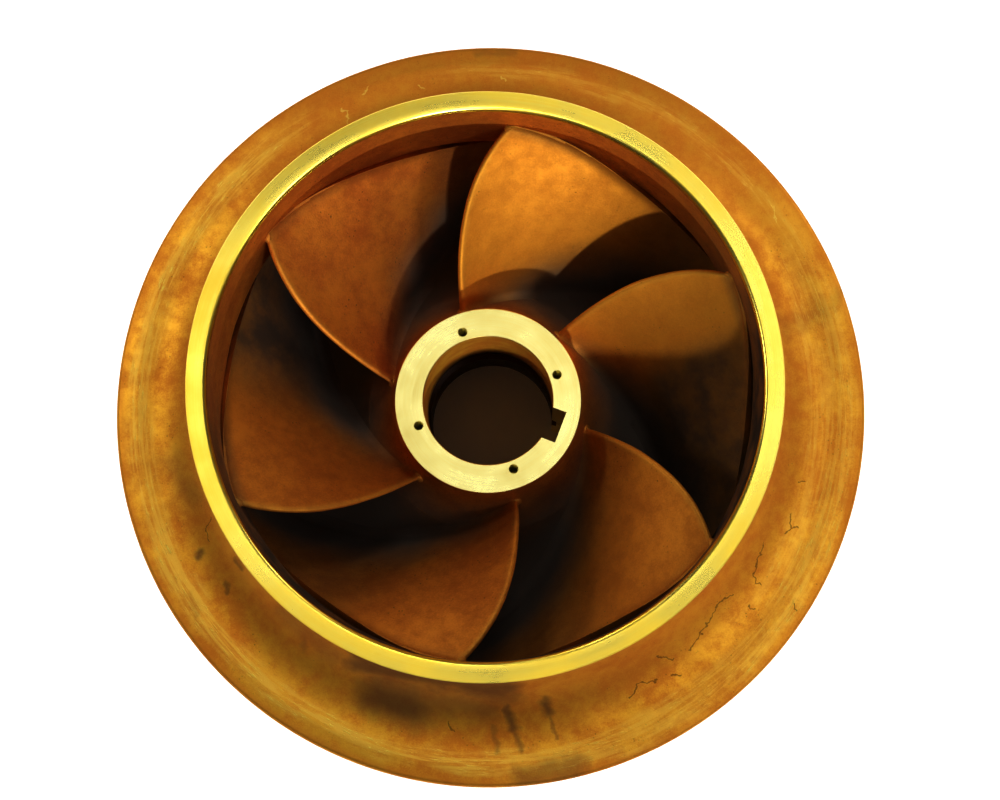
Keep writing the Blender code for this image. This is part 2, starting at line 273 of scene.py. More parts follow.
class ImpellerFinish(bpy.types.PropertyGroup):
    """Colours of the bronze finishes."""

    turned_bright: bpy.props.FloatVectorProperty(
        name="Turned, bright", description="Freshly turned bronze",
        default=(0.97, 0.815, 0.20), size=3, min=0.0, max=1.0, subtype="COLOR")
    turned_deep: bpy.props.FloatVectorProperty(
        name="Turned, deep", description="Turned bronze that has begun to darken",
        default=(0.94, 0.71, 0.105), size=3, min=0.0, max=1.0, subtype="COLOR")
    hub_pale: bpy.props.FloatVectorProperty(
        name="Hub face, pale", description="Turned bronze of the hub's face where it is palest",
        default=(0.98, 0.91, 0.42), size=3, min=0.0, max=1.0, subtype="COLOR")
    hub_deep: bpy.props.FloatVectorProperty(
        name="Hub face, deep", description="Turned bronze of the hub's face where it is deepest",
        default=(0.96, 0.82, 0.30), size=3, min=0.0, max=1.0, subtype="COLOR")
    cast_pale: bpy.props.FloatVectorProperty(
        name="Cast, pale", description="Cast bronze where it is cleanest",
        default=(0.90, 0.54, 0.070), size=3, min=0.0, max=1.0, subtype="COLOR")
    cast_deep: bpy.props.FloatVectorProperty(
        name="Cast, deep", description="Cast bronze where it is browner",
        default=(0.74, 0.325, 0.045), size=3, min=0.0, max=1.0, subtype="COLOR")
    # Painted shade near the ring; toward the far side, a redder tone.
    cast_red_and_shade: bpy.props.FloatVectorProperty(
        name="Cast, red and shaded", description="Cast bronze near the ring and on the far side",
        default=(0.72, 0.31, 0.05), size=3, min=0.0, max=1.0, subtype="COLOR")
    # Drips and stain marks, and the painted shade beside the ring.
    cast_stain_and_shade: bpy.props.FloatVectorProperty(
        name="Cast, stained", description="Stained and dripped on cast bronze",
        default=(0.24, 0.115, 0.045), size=3, min=0.0, max=1.0, subtype="COLOR")
    band_gold: bpy.props.FloatVectorProperty(
        name="Rubbed gold", description="Cast bronze that has been turned or rubbed bright",
        default=(0.92, 0.62, 0.12), size=3, min=0.0, max=1.0, subtype="COLOR")
    water_pale: bpy.props.FloatVectorProperty(
        name="Waterway, pale", description="Bronze of the vanes where it is palest",
        default=(0.85, 0.365, 0.06), size=3, min=0.0, max=1.0, subtype="COLOR")
    water_deep: bpy.props.FloatVectorProperty(
        name="Waterway, deep", description="Bronze of the vanes where it is darkest",
        default=(0.62, 0.215, 0.04), size=3, min=0.0, max=1.0, subtype="COLOR")
    # Painted light: a brighter colour given to some vanes.
    water_lit: bpy.props.FloatVectorProperty(
        name="Waterway, painted light", description="Bronze of the cleanest vane",
        default=(0.84, 0.47, 0.05), size=3, min=0.0, max=1.0, subtype="COLOR")
    # Painted shade: the waterway grows dark deeper down.
    depth_shade: bpy.props.FloatVectorProperty(
        name="Painted depth shade", description="Dark deposit deep in the waterway and in the bore",
        default=(0.16, 0.13, 0.10), size=3, min=0.0, max=1.0, subtype="COLOR")
    # Painted shade deep in some vanes' passages, along the shroud wall and on the throat wall.
    painted_passage_shade: bpy.props.FloatVectorProperty(
        name="Painted passage shade", description="Darker deposit on some vanes and on the throat wall",
        default=(0.085, 0.060, 0.042), size=3, min=0.0, max=1.0, subtype="COLOR")
    # Dark spots and cracks, and also the painted shade deep in the bore.
    stain: bpy.props.FloatVectorProperty(
        name="Stain and bore shade", description="Dark spots, drips and cracks",
        default=(0.05, 0.02, 0.008), size=3, min=0.0, max=1.0, subtype="COLOR")


class ImpellerStudio(bpy.types.PropertyGroup):
    """Camera and lights."""

    tilt: bpy.props.FloatProperty(
        name="Camera tilt", description="How far the camera leans from straight above",
        default=math.radians(9.02), subtype="ANGLE")
    roll: bpy.props.FloatProperty(
        name="Camera roll", description="How far the camera is turned about its own line of sight",
        default=math.radians(8.05), subtype="ANGLE")
    distance: bpy.props.FloatProperty(
        name="Camera distance", description="From the camera to the middle of the rim",
        default=1.01315, min=0.5, unit="LENGTH")
    lens: bpy.props.FloatProperty(
        name="Lens", description="Focal length of the camera in millimetres",
        default=61.2, min=10.0)
    key_power: bpy.props.FloatProperty(
        name="Key power", description="Power of the key light", default=25.0, min=0.0, unit="POWER")
    strip_power: bpy.props.FloatProperty(
        name="Strip power", description="Power of the softbox above", default=4.5, min=0.0, unit="POWER")
    floor_power: bpy.props.FloatProperty(
        name="Floor power", description="Power of each light on the floor", default=120.0, min=0.0,
        unit="POWER")
    room_light: bpy.props.FloatProperty(
        name="Room light", description="Strength of the light from all round", default=0.06, min=0.0)
    contrast: bpy.props.FloatProperty(
        name="Contrast", description="Contrast of the finished picture", default=1.43, min=0.5, max=3.0)


# Section lines, as points of radius and height


def arc(centre, radii, start, end, steps):
    """Points on an elliptical arc in the section plane, both ends included."""
    angles = np.radians(np.linspace(start, end, steps + 1))
    return np.column_stack([centre[0] + radii[0] * np.cos(angles), centre[1] + radii[1] * np.sin(angles)])


def straight(start, end, pitch=CAST_PITCH):
    """Points along a straight run, both ends included."""
    run = math.dist(start, end)
    return np.linspace(start, end, max(int(round(run / pitch)), 1) + 1)


def hub_turn(radius):
    """How far round the hub curve a radius lies, from 0 at the face to a quarter turn."""
    share = (OUTER_RADIUS - radius) / (OUTER_RADIUS - HUB_FACE_RADIUS)
    return np.arccos(np.clip(share, 0.0, 1.0) ** (HUB_CURVE_POWER / 2))


def hub_curve(steps, start_radius=HUB_FACE_RADIUS, end_radius=OUTER_RADIUS):
    """The waterway's inner wall in section, from the hub face out to the rim."""
    reach = OUTER_RADIUS - HUB_FACE_RADIUS
    drop = HUB_LENGTH - BACK_FACE - BACK_WALL
    turns = np.linspace(hub_turn(start_radius), hub_turn(end_radius), steps + 1)
    radius = OUTER_RADIUS - reach * np.maximum(np.cos(turns), 0.0) ** (2 / HUB_CURVE_POWER)
    height = HUB_LENGTH - drop * np.sin(turns) ** (2 / HUB_CURVE_POWER)
    return np.column_stack([radius, height])


def shroud_curve(steps):
    """The waterway's outer wall in section, from the ring's seat out to the rim."""
    radii = (BELL_END_RADIUS - THROAT_RADIUS, BELL_TOP - RIM_UNDERSIDE)
    bend = arc((BELL_END_RADIUS, BELL_TOP), radii, 180, 270, steps)
    return np.vstack([(EYE_RADIUS, RING_SEAT), bend, (OUTER_RADIUS, RIM_UNDERSIDE)])


def shoulder_radius():
    """Radius at which the hub curve passes the height of the hub's shoulder."""
    drop = HUB_LENGTH - BACK_FACE - BACK_WALL
    fall = ((HUB_LENGTH - SHOULDER_HEIGHT) / drop) ** HUB_CURVE_POWER
    return OUTER_RADIUS - (OUTER_RADIUS - HUB_FACE_RADIUS) * (1 - fall) ** (1 / HUB_CURVE_POWER)


def even(line, pitch=CAST_PITCH):
    """The same line with its points evenly spaced."""
    lengths = travelled(line)
    marks = np.linspace(0.0, lengths[-1], max(int(round(lengths[-1] / pitch)), 1) + 1)
    return np.column_stack([np.interp(marks, lengths, line[:, axis]) for axis in (0, 1)])


def travelled(line):
    """The length of a line up to each of its points."""
    return np.concatenate([[0.0], np.cumsum(np.linalg.norm(np.diff(line, axis=0), axis=1))])


def walk(line, share):
    """Points at shares of a section line's length, and straight on beyond its end."""
    lengths = travelled(line)
    reach = np.asarray(share) * lengths[-1]
    points = np.stack([np.interp(reach, lengths, line[:, axis]) for axis in (0, 1)], axis=-1)
    end = (line[-1] - line[-2]) / np.linalg.norm(line[-1] - line[-2])
    return points + np.maximum(reach - lengths[-1], 0.0)[..., None] * end


def distance_to(line, points):
    """Signed distance from section points to a line, positive on the left of its way."""
    start, run = line[:-1], np.diff(line, axis=0)
    offset = points[..., None, :] - start
    share = np.clip(np.sum(offset * run, axis=-1) / np.sum(run * run, axis=-1), 0.0, 1.0)
    gap = offset - share[..., None] * run
    length = np.linalg.norm(gap, axis=-1)
    nearest = np.argmin(length, axis=-1)[..., None]
    side = run[..., 0] * offset[..., 1] - run[..., 1] * offset[..., 0]
    sign = np.sign(np.take_along_axis(side, nearest, axis=-1))
    return (np.take_along_axis(length, nearest, axis=-1) * sign)[..., 0]


# Meshes


def mesh_from(name, points, faces):
    """A mesh from arrays of points and faces."""
    mesh = bpy.data.meshes.new(name)
    mesh.from_pydata(points.tolist(), [], faces if isinstance(faces, list) else faces.tolist())
    mesh.update()
    return mesh


def turned_mesh(name, stretches, steps=TURNED_STEPS):
    """Turn a closed section. Each stretch has its points, its material and how far it is cast."""
    section = np.vstack([points[:-1] for points, _, _ in stretches])
    slots = np.concatenate([np.full(len(points) - 1, slot) for points, slot, _ in stretches])
    cast = np.concatenate([np.full(len(points) - 1, share) for points, _, share in stretches])
    angles = np.linspace(0.0, math.tau, steps, endpoint=False)
    count = len(section)
    points = np.empty((count, steps, 3))
    points[..., 0] = section[:, 0, None] * np.cos(angles)
    points[..., 1] = section[:, 0, None] * np.sin(angles)
    points[..., 2] = section[:, 1, None]
    cast = cast * np.clip(rows_from_uncast(cast) / FADE_ROWS, 0.0, 1.0)
    row = np.arange(count)[:, None] * steps
    following = (np.arange(count)[:, None] + 1) % count * steps
    column = np.arange(steps)[None, :]
    beside = (column + 1) % steps
    faces = np.stack([row + column, following + column, following + beside, row + beside], axis=-1)
    mesh = mesh_from(name, points.reshape(-1, 3), faces.reshape(-1, 4))
    mesh.polygons.foreach_set("material_index", np.repeat(slots, steps))
    mark(mesh, "cast", np.repeat(cast, steps))
    return mesh


def rows_from_uncast(cast):
    """How many rows each row of a closed section is from the nearest uncast one."""
    count = len(cast)
    uncast = np.flatnonzero(cast == 0)
    if len(uncast) == 0:
        return np.full(count, count)
    apart = np.abs(np.arange(count)[:, None] - uncast[None, :])
    return np.minimum(apart, count - apart).min(axis=1)


def mark(mesh, name, values):
    """Keep one number for each point of a mesh, for the finishes to read."""
    layer = mesh.attributes.get(name) or mesh.attributes.new(name, "FLOAT", "POINT")
    layer.data.foreach_set("value", np.asarray(values, np.float32).ravel())


def marked(mesh, name):
    """The numbers that mark kept."""
    values = np.zeros(len(mesh.vertices), np.float32)
    mesh.attributes[name].data.foreach_get("value", values)
    return values


def read_points(mesh):
    """The points of a mesh as an array."""
    points = np.zeros(len(mesh.vertices) * 3, np.float32)
    mesh.vertices.foreach_get("co", points)
    return points.reshape(-1, 3)


def roughen(mesh, sizes):
    """Give the cast points of a mesh the slow waves of a sand casting."""
    points = read_points(mesh)
    normals = np.zeros(len(points) * 3, np.float32)
    mesh.vertices.foreach_get("normal", normals)
    normals = normals.reshape(-1, 3)
    share = marked(mesh, "cast")
    for i in np.flatnonzero(share > 0):
        place = Vector(points[i]) / sizes.wave_size
        wave = noise.fractal(place, 0.9, 2.3, 4)
        points[i] += normals[i] * wave * sizes.waves * share[i]
    radius = np.hypot(points[:, 0], points[:, 1])
    points[:, :2] *= np.minimum(1.0, OUTER_RADIUS / np.maximum(radius, 1e-9))[:, None]
    mesh.vertices.foreach_set("co", points.ravel())
    mesh.update()


def shade(mesh):
    """Shade a mesh smooth, with crisp edges where its faces turn sharply."""
    mesh.shade_smooth()
    mesh.set_sharp_from_angle(angle=SHARP_ANGLE)


def place_piece(name, mesh, materials, nodes):
    """Show a mesh as a finished piece in place of the solids that it dresses."""
    piece = bpy.data.objects.new(name, mesh)
    bpy.context.scene.collection.objects.link(piece)
    for material in materials:
        mesh.materials.append(material)
    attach(piece, "root")
    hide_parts(*nodes)
    return piece


# Nodes


class Tree:
    """Adds nodes to a material or a group and links them."""

    def __init__(self, tree):
        self.tree = tree
        self.count = 0

    def add(self, kind, feeds=(), **settings):
        """A new node, with its settings and with its inputs fed."""
        node = self.tree.nodes.new(kind)
        node.location = (self.count % 8 * 190 - 1500, self.count // 8 * -260)
        self.count += 1
        for key, value in settings.items():
            setattr(node, key, value)
        for key, value in dict(feeds).items():
            self.feed(node.inputs[key], value)
        return node

    def feed(self, socket, value):
        """Link a socket, or give it a plain value."""
        if isinstance(value, bpy.types.NodeSocket):
            self.tree.links.new(value, socket)
        elif socket.type == "RGBA" and len(value) == 3:
            socket.default_value = (*value, 1.0)
        else:
            socket.default_value = value

    def math(self, operation, a, b=0.0, clamp=False):
        """One sum."""
        node = self.add("ShaderNodeMath", {0: a, 1: b}, operation=operation, use_clamp=clamp)
        return node.outputs[0]

    def vector(self, operation, a, b=(0.0, 0.0, 0.0), out="Vector"):
        """One sum of vectors."""
        return self.add("ShaderNodeVectorMath", {0: a, 1: b}, operation=operation).outputs[out]

    def ramp(self, value, low, high, to_low=0.0, to_high=1.0):
        """A smooth step from one value to another."""
        feeds = {"Value": value, "From Min": low, "From Max": high, "To Min": to_low, "To Max": to_high}
        node = self.add("ShaderNodeMapRange", feeds, interpolation_type="SMOOTHSTEP")
        return node.outputs["Result"]

    def mix(self, factor, a, b, blend="MIX"):
        """Two colours mixed."""
        node = self.add("ShaderNodeMix", data_type="RGBA", blend_type=blend)
        self.feed(node.inputs[0], factor)
        self.feed(node.inputs[6], a)
        self.feed(node.inputs[7], b)
        return node.outputs[2]

    def noise(self, vector, scale, detail=3.0, roughness=0.5, **settings):
        """Noise from 0 to 1."""
        feeds = {"Vector": vector, "Scale": scale, "Detail": detail, "Roughness": roughness}
        return self.add("ShaderNodeTexNoise", feeds, **settings).outputs[0]

    def place(self):
        """Where a point of the surface lies, in the object's own frame."""
        return self.add("ShaderNodeTexCoord").outputs["Object"]

    def attribute(self, name):
        """A number kept with the mesh."""
        return self.add("ShaderNodeAttribute", attribute_name=name).outputs["Fac"]

    def group(self, built, **feeds):
        """A group, with its inputs fed by name."""
        node = self.add("ShaderNodeGroup", node_tree=built)
        for key, value in feeds.items():
            self.feed(node.inputs[key.replace("_", " ").capitalize()], value)
        return node.outputs


def new_group(name, inputs, outputs):
    """An empty node group. Inputs and outputs are given as names with socket kinds and defaults."""
    built = bpy.data.node_groups.new(name, "ShaderNodeTree")
    for label, (kind, default) in inputs.items():
        socket = built.interface.new_socket(label, in_out="INPUT", socket_type=kind)
        socket.default_value = default
    for label, kind in outputs.items():
        built.interface.new_socket(label, in_out="OUTPUT", socket_type=kind)
    tree = Tree(built)
    return tree, tree.add("NodeGroupInput").outputs, tree.add("NodeGroupOutput").inputs


FLOAT = "NodeSocketFloat"
COLOUR = "NodeSocketColor"
VECTOR = "NodeSocketVector"


def polar(tree, place):
    """Radius, height and direction from the axis."""
    parts = tree.add("ShaderNodeSeparateXYZ", {0: place}).outputs
    flat = tree.vector("MULTIPLY", place, (1.0, 1.0, 0.0))
    radius = tree.vector("LENGTH", flat, out="Value")
    direction = tree.vector("NORMALIZE", flat)
    return radius, parts[2], direction


def cast_skin_group():
    """The mottled, grainy and slightly pitted skin of a sand casting."""
    inputs = {
        "Pale": (COLOUR, (0.7, 0.3, 0.03, 1.0)),
        "Deep": (COLOUR, (0.4, 0.14, 0.02, 1.0)),
        "Mottle size": (FLOAT, 0.05),
        "Grain size": (FLOAT, 0.0011),
        "Pits": (FLOAT, 0.5),
    }
    outputs = {"Colour": COLOUR, "Roughness": FLOAT, "Height": FLOAT}
    tree, given, result = new_group("Cast skin", inputs, outputs)
    place = tree.place()
    mottle_scale = tree.math("DIVIDE", 1.0, given["Mottle size"])
    grain_scale = tree.math("DIVIDE", 1.0, given["Grain size"])
    clouds = tree.noise(place, mottle_scale, 6.0, 0.62)
    blotches = tree.noise(place, tree.math("MULTIPLY", mottle_scale, 5.0), 4.0, 0.6)
    grain = tree.noise(place, grain_scale, 3.0, 0.7)
    tone = tree.math("ADD", tree.math("MULTIPLY", clouds, 0.45), tree.math("MULTIPLY", blotches, 0.3))
    tone = tree.math("ADD", tone, tree.math("MULTIPLY", grain, 0.25))
    colour = tree.mix(tree.ramp(tone, 0.38, 0.62), given["Deep"], given["Pale"])
    cells = tree.add(
        "ShaderNodeTexVoronoi",
        {"Vector": place, "Scale": tree.math("MULTIPLY", grain_scale, 0.35), "Randomness": 1.0},
    ).outputs["Distance"]
    where = tree.ramp(tree.noise(place, tree.math("MULTIPLY", mottle_scale, 2.2), 2.0), 0.5, 0.7)
    pits = tree.math("MULTIPLY", tree.ramp(cells, 0.20, 0.10), where)
    pits = tree.math("MULTIPLY", pits, given["Pits"])
    colour = tree.mix(tree.math("MULTIPLY", pits, 0.65), colour, (0.05, 0.02, 0.01), "MIX")
    tree.feed(result["Colour"], colour)
    tree.feed(result["Roughness"], tree.ramp(tone, 0.3, 0.7, 0.68, 0.54))
    height = tree.math("ADD", tree.math("MULTIPLY", grain, 0.5), tree.math("MULTIPLY", blotches, 1.0))
    tree.feed(result["Height"], tree.math("SUBTRACT", height, tree.math("MULTIPLY", pits, 0.6)))
    return tree.tree


def lathe_marks_group():
    """Fine rings left by a turning tool, uneven round the axis."""
    inputs = {"Pitch": (FLOAT, 0.0006), "Waviness": (FLOAT, 1.0)}
    outputs = {"Shade": FLOAT, "Height": FLOAT}
    tree, given, result = new_group("Lathe marks", inputs, outputs)
    radius, height, direction = polar(tree, tree.place())
    along = tree.math("ADD", radius, height)
    rings = tree.math("DIVIDE", along, given["Pitch"])
    around = tree.vector("SCALE", direction)
    tree.feed(around.node.inputs["Scale"], given["Waviness"])
    parts = tree.add("ShaderNodeSeparateXYZ", {0: around}).outputs
    fine = tree.add("ShaderNodeCombineXYZ", {0: rings, 1: parts[0], 2: parts[1]}).outputs[0]
    coarse = tree.vector("MULTIPLY", fine, (0.12, 1.0, 1.0))
    fine_rings = tree.noise(fine, 1.0, 2.0, 0.6)
    coarse_rings = tree.noise(coarse, 1.0, 3.0, 0.6)
    tree.feed(result["Shade"], tree.math("ADD", tree.math("MULTIPLY", fine_rings, 0.5),
                                         tree.math("MULTIPLY", coarse_rings, 0.5)))
    tree.feed(result["Height"], tree.math("ADD", fine_rings, tree.math("MULTIPLY", coarse_rings, 0.8)))
    return tree.tree


def streak_noise(tree, radius, direction, across, around):
    """Noise drawn out into streaks round the axis."""
    turned = tree.add("ShaderNodeSeparateXYZ", {0: tree.vector("MULTIPLY", direction, (around, around, 0.0))}).outputs
    feeds = {0: tree.math("MULTIPLY", radius, across), 1: turned[0], 2: turned[1]}
    return tree.noise(tree.add("ShaderNodeCombineXYZ", feeds).outputs[0], 1.0, 4.0, 0.6)


def rubbed_band_group():
    """A rubbed stretch of a band round the axis, with its streaks and the bright grains in them."""
    inputs = {
        "Start": (FLOAT, 0.20), "End": (FLOAT, 0.21), "Softness": (FLOAT, 0.003),
        "Towards": (VECTOR, (1.0, 0.0, 0.0)), "Spread": (FLOAT, 0.5),
    }
    outputs = {"Mask": FLOAT, "Bright": FLOAT}
    tree, given, result = new_group("Rubbed band", inputs, outputs)
    place = tree.place()
    radius, _, direction = polar(tree, place)
    wander = tree.math("MULTIPLY", tree.math("SUBTRACT", tree.noise(place, 35.0, 5.0), 0.5), 0.016)
    strayed = tree.math("ADD", radius, wander)
    soft = given["Softness"]
    rise = tree.ramp(strayed, tree.math("SUBTRACT", given["Start"], soft), tree.math("ADD", given["Start"], soft))
    fall = tree.ramp(strayed, tree.math("ADD", given["End"], soft), tree.math("SUBTRACT", given["End"], soft))
    facing = tree.vector("DOT_PRODUCT", direction, given["Towards"], out="Value")
    around = tree.ramp(facing, tree.math("SUBTRACT", given["Spread"], 0.15),
                       tree.math("ADD", given["Spread"], 0.1))
    inside = tree.math("MULTIPLY", tree.math("MULTIPLY", rise, fall), around)
    streaks = tree.ramp(streak_noise(tree, radius, direction, 420.0, 5.0), 0.40, 0.60)
    grains = tree.ramp(streak_noise(tree, radius, direction, 1300.0, 38.0), 0.53, 0.66)
    tree.feed(result["Mask"], tree.math("MULTIPLY", inside, tree.ramp(streaks, 0.0, 1.0, 0.25, 1.0)))
    patches = tree.ramp(tree.noise(place, 90.0, 4.0, 0.6), 0.40, 0.6)
    grainy = tree.math("MULTIPLY", inside, tree.math("MULTIPLY", patches, grains))
    tree.feed(result["Bright"], tree.math("MULTIPLY", grainy, tree.ramp(streaks, 0.0, 1.0, 0.4, 1.0)))
    return tree.tree


def stroke_group():
    """How strongly a stroke from one point to another covers a place, seen along the axis."""
    inputs = {
        "Place": (VECTOR, (0.0, 0.0, 0.0)), "Start": (VECTOR, (0.0, 0.0, 0.0)),
        "Way": (VECTOR, (0.01, 0.0, 0.0)), "Width": (FLOAT, 0.001), "Strength": (FLOAT, 1.0),
        "Softness": (FLOAT, 0.5), "Under": (FLOAT, 0.0),
    }
    tree, given, result = new_group("Stroke", inputs, {"Mask": FLOAT})
    flat = tree.vector("MULTIPLY", given["Place"], (1.0, 1.0, 0.0))
    offset = tree.vector("SUBTRACT", flat, given["Start"])
    along = tree.vector("DOT_PRODUCT", offset, given["Way"], out="Value")
    whole = tree.vector("DOT_PRODUCT", given["Way"], given["Way"], out="Value")
    share = tree.math("DIVIDE", along, whole, clamp=True)
    reached = tree.vector("SCALE", given["Way"])
    tree.feed(reached.node.inputs["Scale"], share)
    away = tree.vector("DISTANCE", offset, reached, out="Value")
    half = tree.math("MULTIPLY", given["Width"], 0.5)
    solid = tree.math("MULTIPLY", half, tree.math("SUBTRACT", 1.0, given["Softness"]))
    mask = tree.math("MULTIPLY", tree.ramp(away, half, solid), given["Strength"])
    tree.feed(result["Mask"], tree.math("MAXIMUM", mask, given["Under"]))
    return tree.tree


def shade_by_depth_group():
    """Painted shade that darkens a surface from one height down to a lower one, with an uneven edge."""
    inputs = {"Top": (FLOAT, 0.1), "Bottom": (FLOAT, 0.05)}
    tree, given, result = new_group("Depth shade", inputs, {"Mask": FLOAT})
    place = tree.place()
    _, height, _ = polar(tree, place)
    uneven = tree.math("MULTIPLY", tree.math("SUBTRACT", tree.noise(place, 30.0, 4.0), 0.5), 0.02)
    tree.feed(result["Mask"], tree.ramp(tree.math("ADD", height, uneven), given["Top"], given["Bottom"]))
    return tree.tree


def edge_wear_highlight_group():
    """Where the thin leading edge of a vane is rubbed bright, partly wear and partly a painted highlight."""
    inputs = {"Reach": (FLOAT, 0.0015)}
    tree, given, result = new_group("Worn edge and highlight", inputs, {"Mask": FLOAT})
    uneven = tree.noise(tree.place(), 160.0, 4.0, 0.6)
    reach = tree.math("MULTIPLY", given["Reach"], tree.ramp(uneven, 0.3, 0.75, 0.3, 1.6))
    start = tree.math("SUBTRACT", EDGE_REACH, reach)
    tree.feed(result["Mask"], tree.ramp(tree.attribute("near_edge"), start, EDGE_REACH))
    return tree.tree


def new_material(name, metallic, specular=0.5):
    """A material with its shader, and the two constants that suit it."""
    material = bpy.data.materials.new(name)
    material.use_nodes = True
    tree = Tree(material.node_tree)
    shader = material.node_tree.nodes["Principled BSDF"]
    shader.inputs["Metallic"].default_value = metallic
    shader.inputs["Specular IOR Level"].default_value = specular
    return material, tree, shader


def bump(tree, height, strength, distance):
    """A bump from a height."""
    feeds = {"Height": height, "Strength": strength, "Distance": distance}
    return tree.add("ShaderNodeBump", feeds).outputs["Normal"]


def shared(name, make):
    """A group or material by name, made the first time that it is asked for."""
    known = bpy.data.node_groups.get(name) or bpy.data.materials.get(name)
    return known or make()


def groups():
    """The node groups that the finishes share."""
    return {
        "cast": shared("Cast skin", cast_skin_group),
        "lathe": shared("Lathe marks", lathe_marks_group),
        "band": shared("Rubbed band", rubbed_band_group),
        "stroke": shared("Stroke", stroke_group),
        "edge": shared("Worn edge and highlight", edge_wear_highlight_group),
        "depth_shade": shared("Depth shade", shade_by_depth_group),
    }


def turned_bronze(name, bright, deep):
    """Bright turned bronze, for the ring and the hub's faces."""
    def make():
        material, tree, shader = new_material(name, 1.0)
        parts = groups()
        lathe = tree.group(parts["lathe"], pitch=0.0005, waviness=1.2)
        clouds = tree.noise(tree.place(), 22.0, 5.0, 0.6)
        tone = tree.math("ADD", tree.math("MULTIPLY", clouds, 0.6), tree.math("MULTIPLY", lathe["Shade"], 0.4))
        colour = tree.mix(tree.ramp(tone, 0.35, 0.65), deep, bright)
        tree.feed(shader.inputs["Base Color"], colour)
        tree.feed(shader.inputs["Roughness"], tree.ramp(tone, 0.3, 0.7, 0.36, 0.24))
        tree.feed(shader.inputs["Normal"], bump(tree, lathe["Height"], 0.3, 0.00004))
        return material
    return shared(name, make)


def bore_bronze(finish):
    """Browned turned bronze, for the bore and the keyway."""
    def make():
        material, tree, shader = new_material("bore_bronze_finish", 0.3, 0.3)
        parts = groups()
        lathe = tree.group(parts["lathe"], pitch=0.0008, waviness=1.0)
        clouds = tree.noise(tree.place(), 60.0, 5.0, 0.6)
        tone = tree.math("ADD", tree.math("MULTIPLY", clouds, 0.7), tree.math("MULTIPLY", lathe["Shade"], 0.3))
        colour = tree.mix(tree.ramp(tone, 0.35, 0.65), finish.cast_deep[:], finish.cast_pale[:])
        # Painted shade: the bore darkens deeper down.
        deep = tree.group(parts["depth_shade"], top=0.064, bottom=0.044)
        colour = tree.mix(deep["Mask"], colour, finish.stain[:])
        tree.feed(shader.inputs["Base Color"], colour)
        tree.feed(shader.inputs["Roughness"], tree.ramp(tone, 0.3, 0.7, 0.5, 0.36))
        tree.feed(shader.inputs["Normal"], bump(tree, lathe["Height"], 0.5, 0.00005))
        return material
    return shared("bore_bronze_finish", make)


def on_shroud(degrees, millimetres):
    """A point of the front shroud, seen along the axis."""
    angle = math.radians(degrees)
    return Vector((math.cos(angle), math.sin(angle), 0.0)) * (millimetres / 1000)


def strokes(tree, place, rows, softness):
    """The cover of many strokes, each given by its ends, width and strength."""
    cover = 0.0
    for start, end, width, strength in rows:
        drawn = tree.group(groups()["stroke"], place=place, start=start[:], way=(end - start)[:],
                           width=width, strength=strength, softness=softness, under=cover)
        cover = drawn["Mask"]
    return cover


def wide_rows(table):
    """Strokes from a table of stain marks and painted shade, or from the table of drips."""
    return [(on_shroud(*row[0:2]), on_shroud(*row[2:4]), row[4] / 1000, row[5]) for row in table]


def thin_rows(lines):
    """Strokes along the lines of a table of cracks or scratches."""
    return [
        (on_shroud(*start), on_shroud(*end), CRACK_WIDTH, 0.5)
        for line in lines for start, end in zip(line, line[1:])
    ]


def strayed_place(tree, scale, reach):
    """Places moved by noise, so that what is drawn there has a ragged outline."""
    place = tree.place()
    noise = tree.add("ShaderNodeTexNoise", {"Vector": place, "Scale": scale, "Detail": 4.0}).outputs[1]
    moved = tree.vector("SUBTRACT", noise, (0.5, 0.5, 0.5))
    return tree.vector("ADD", place, tree.vector("MULTIPLY", moved, (reach, reach, 0.0)))


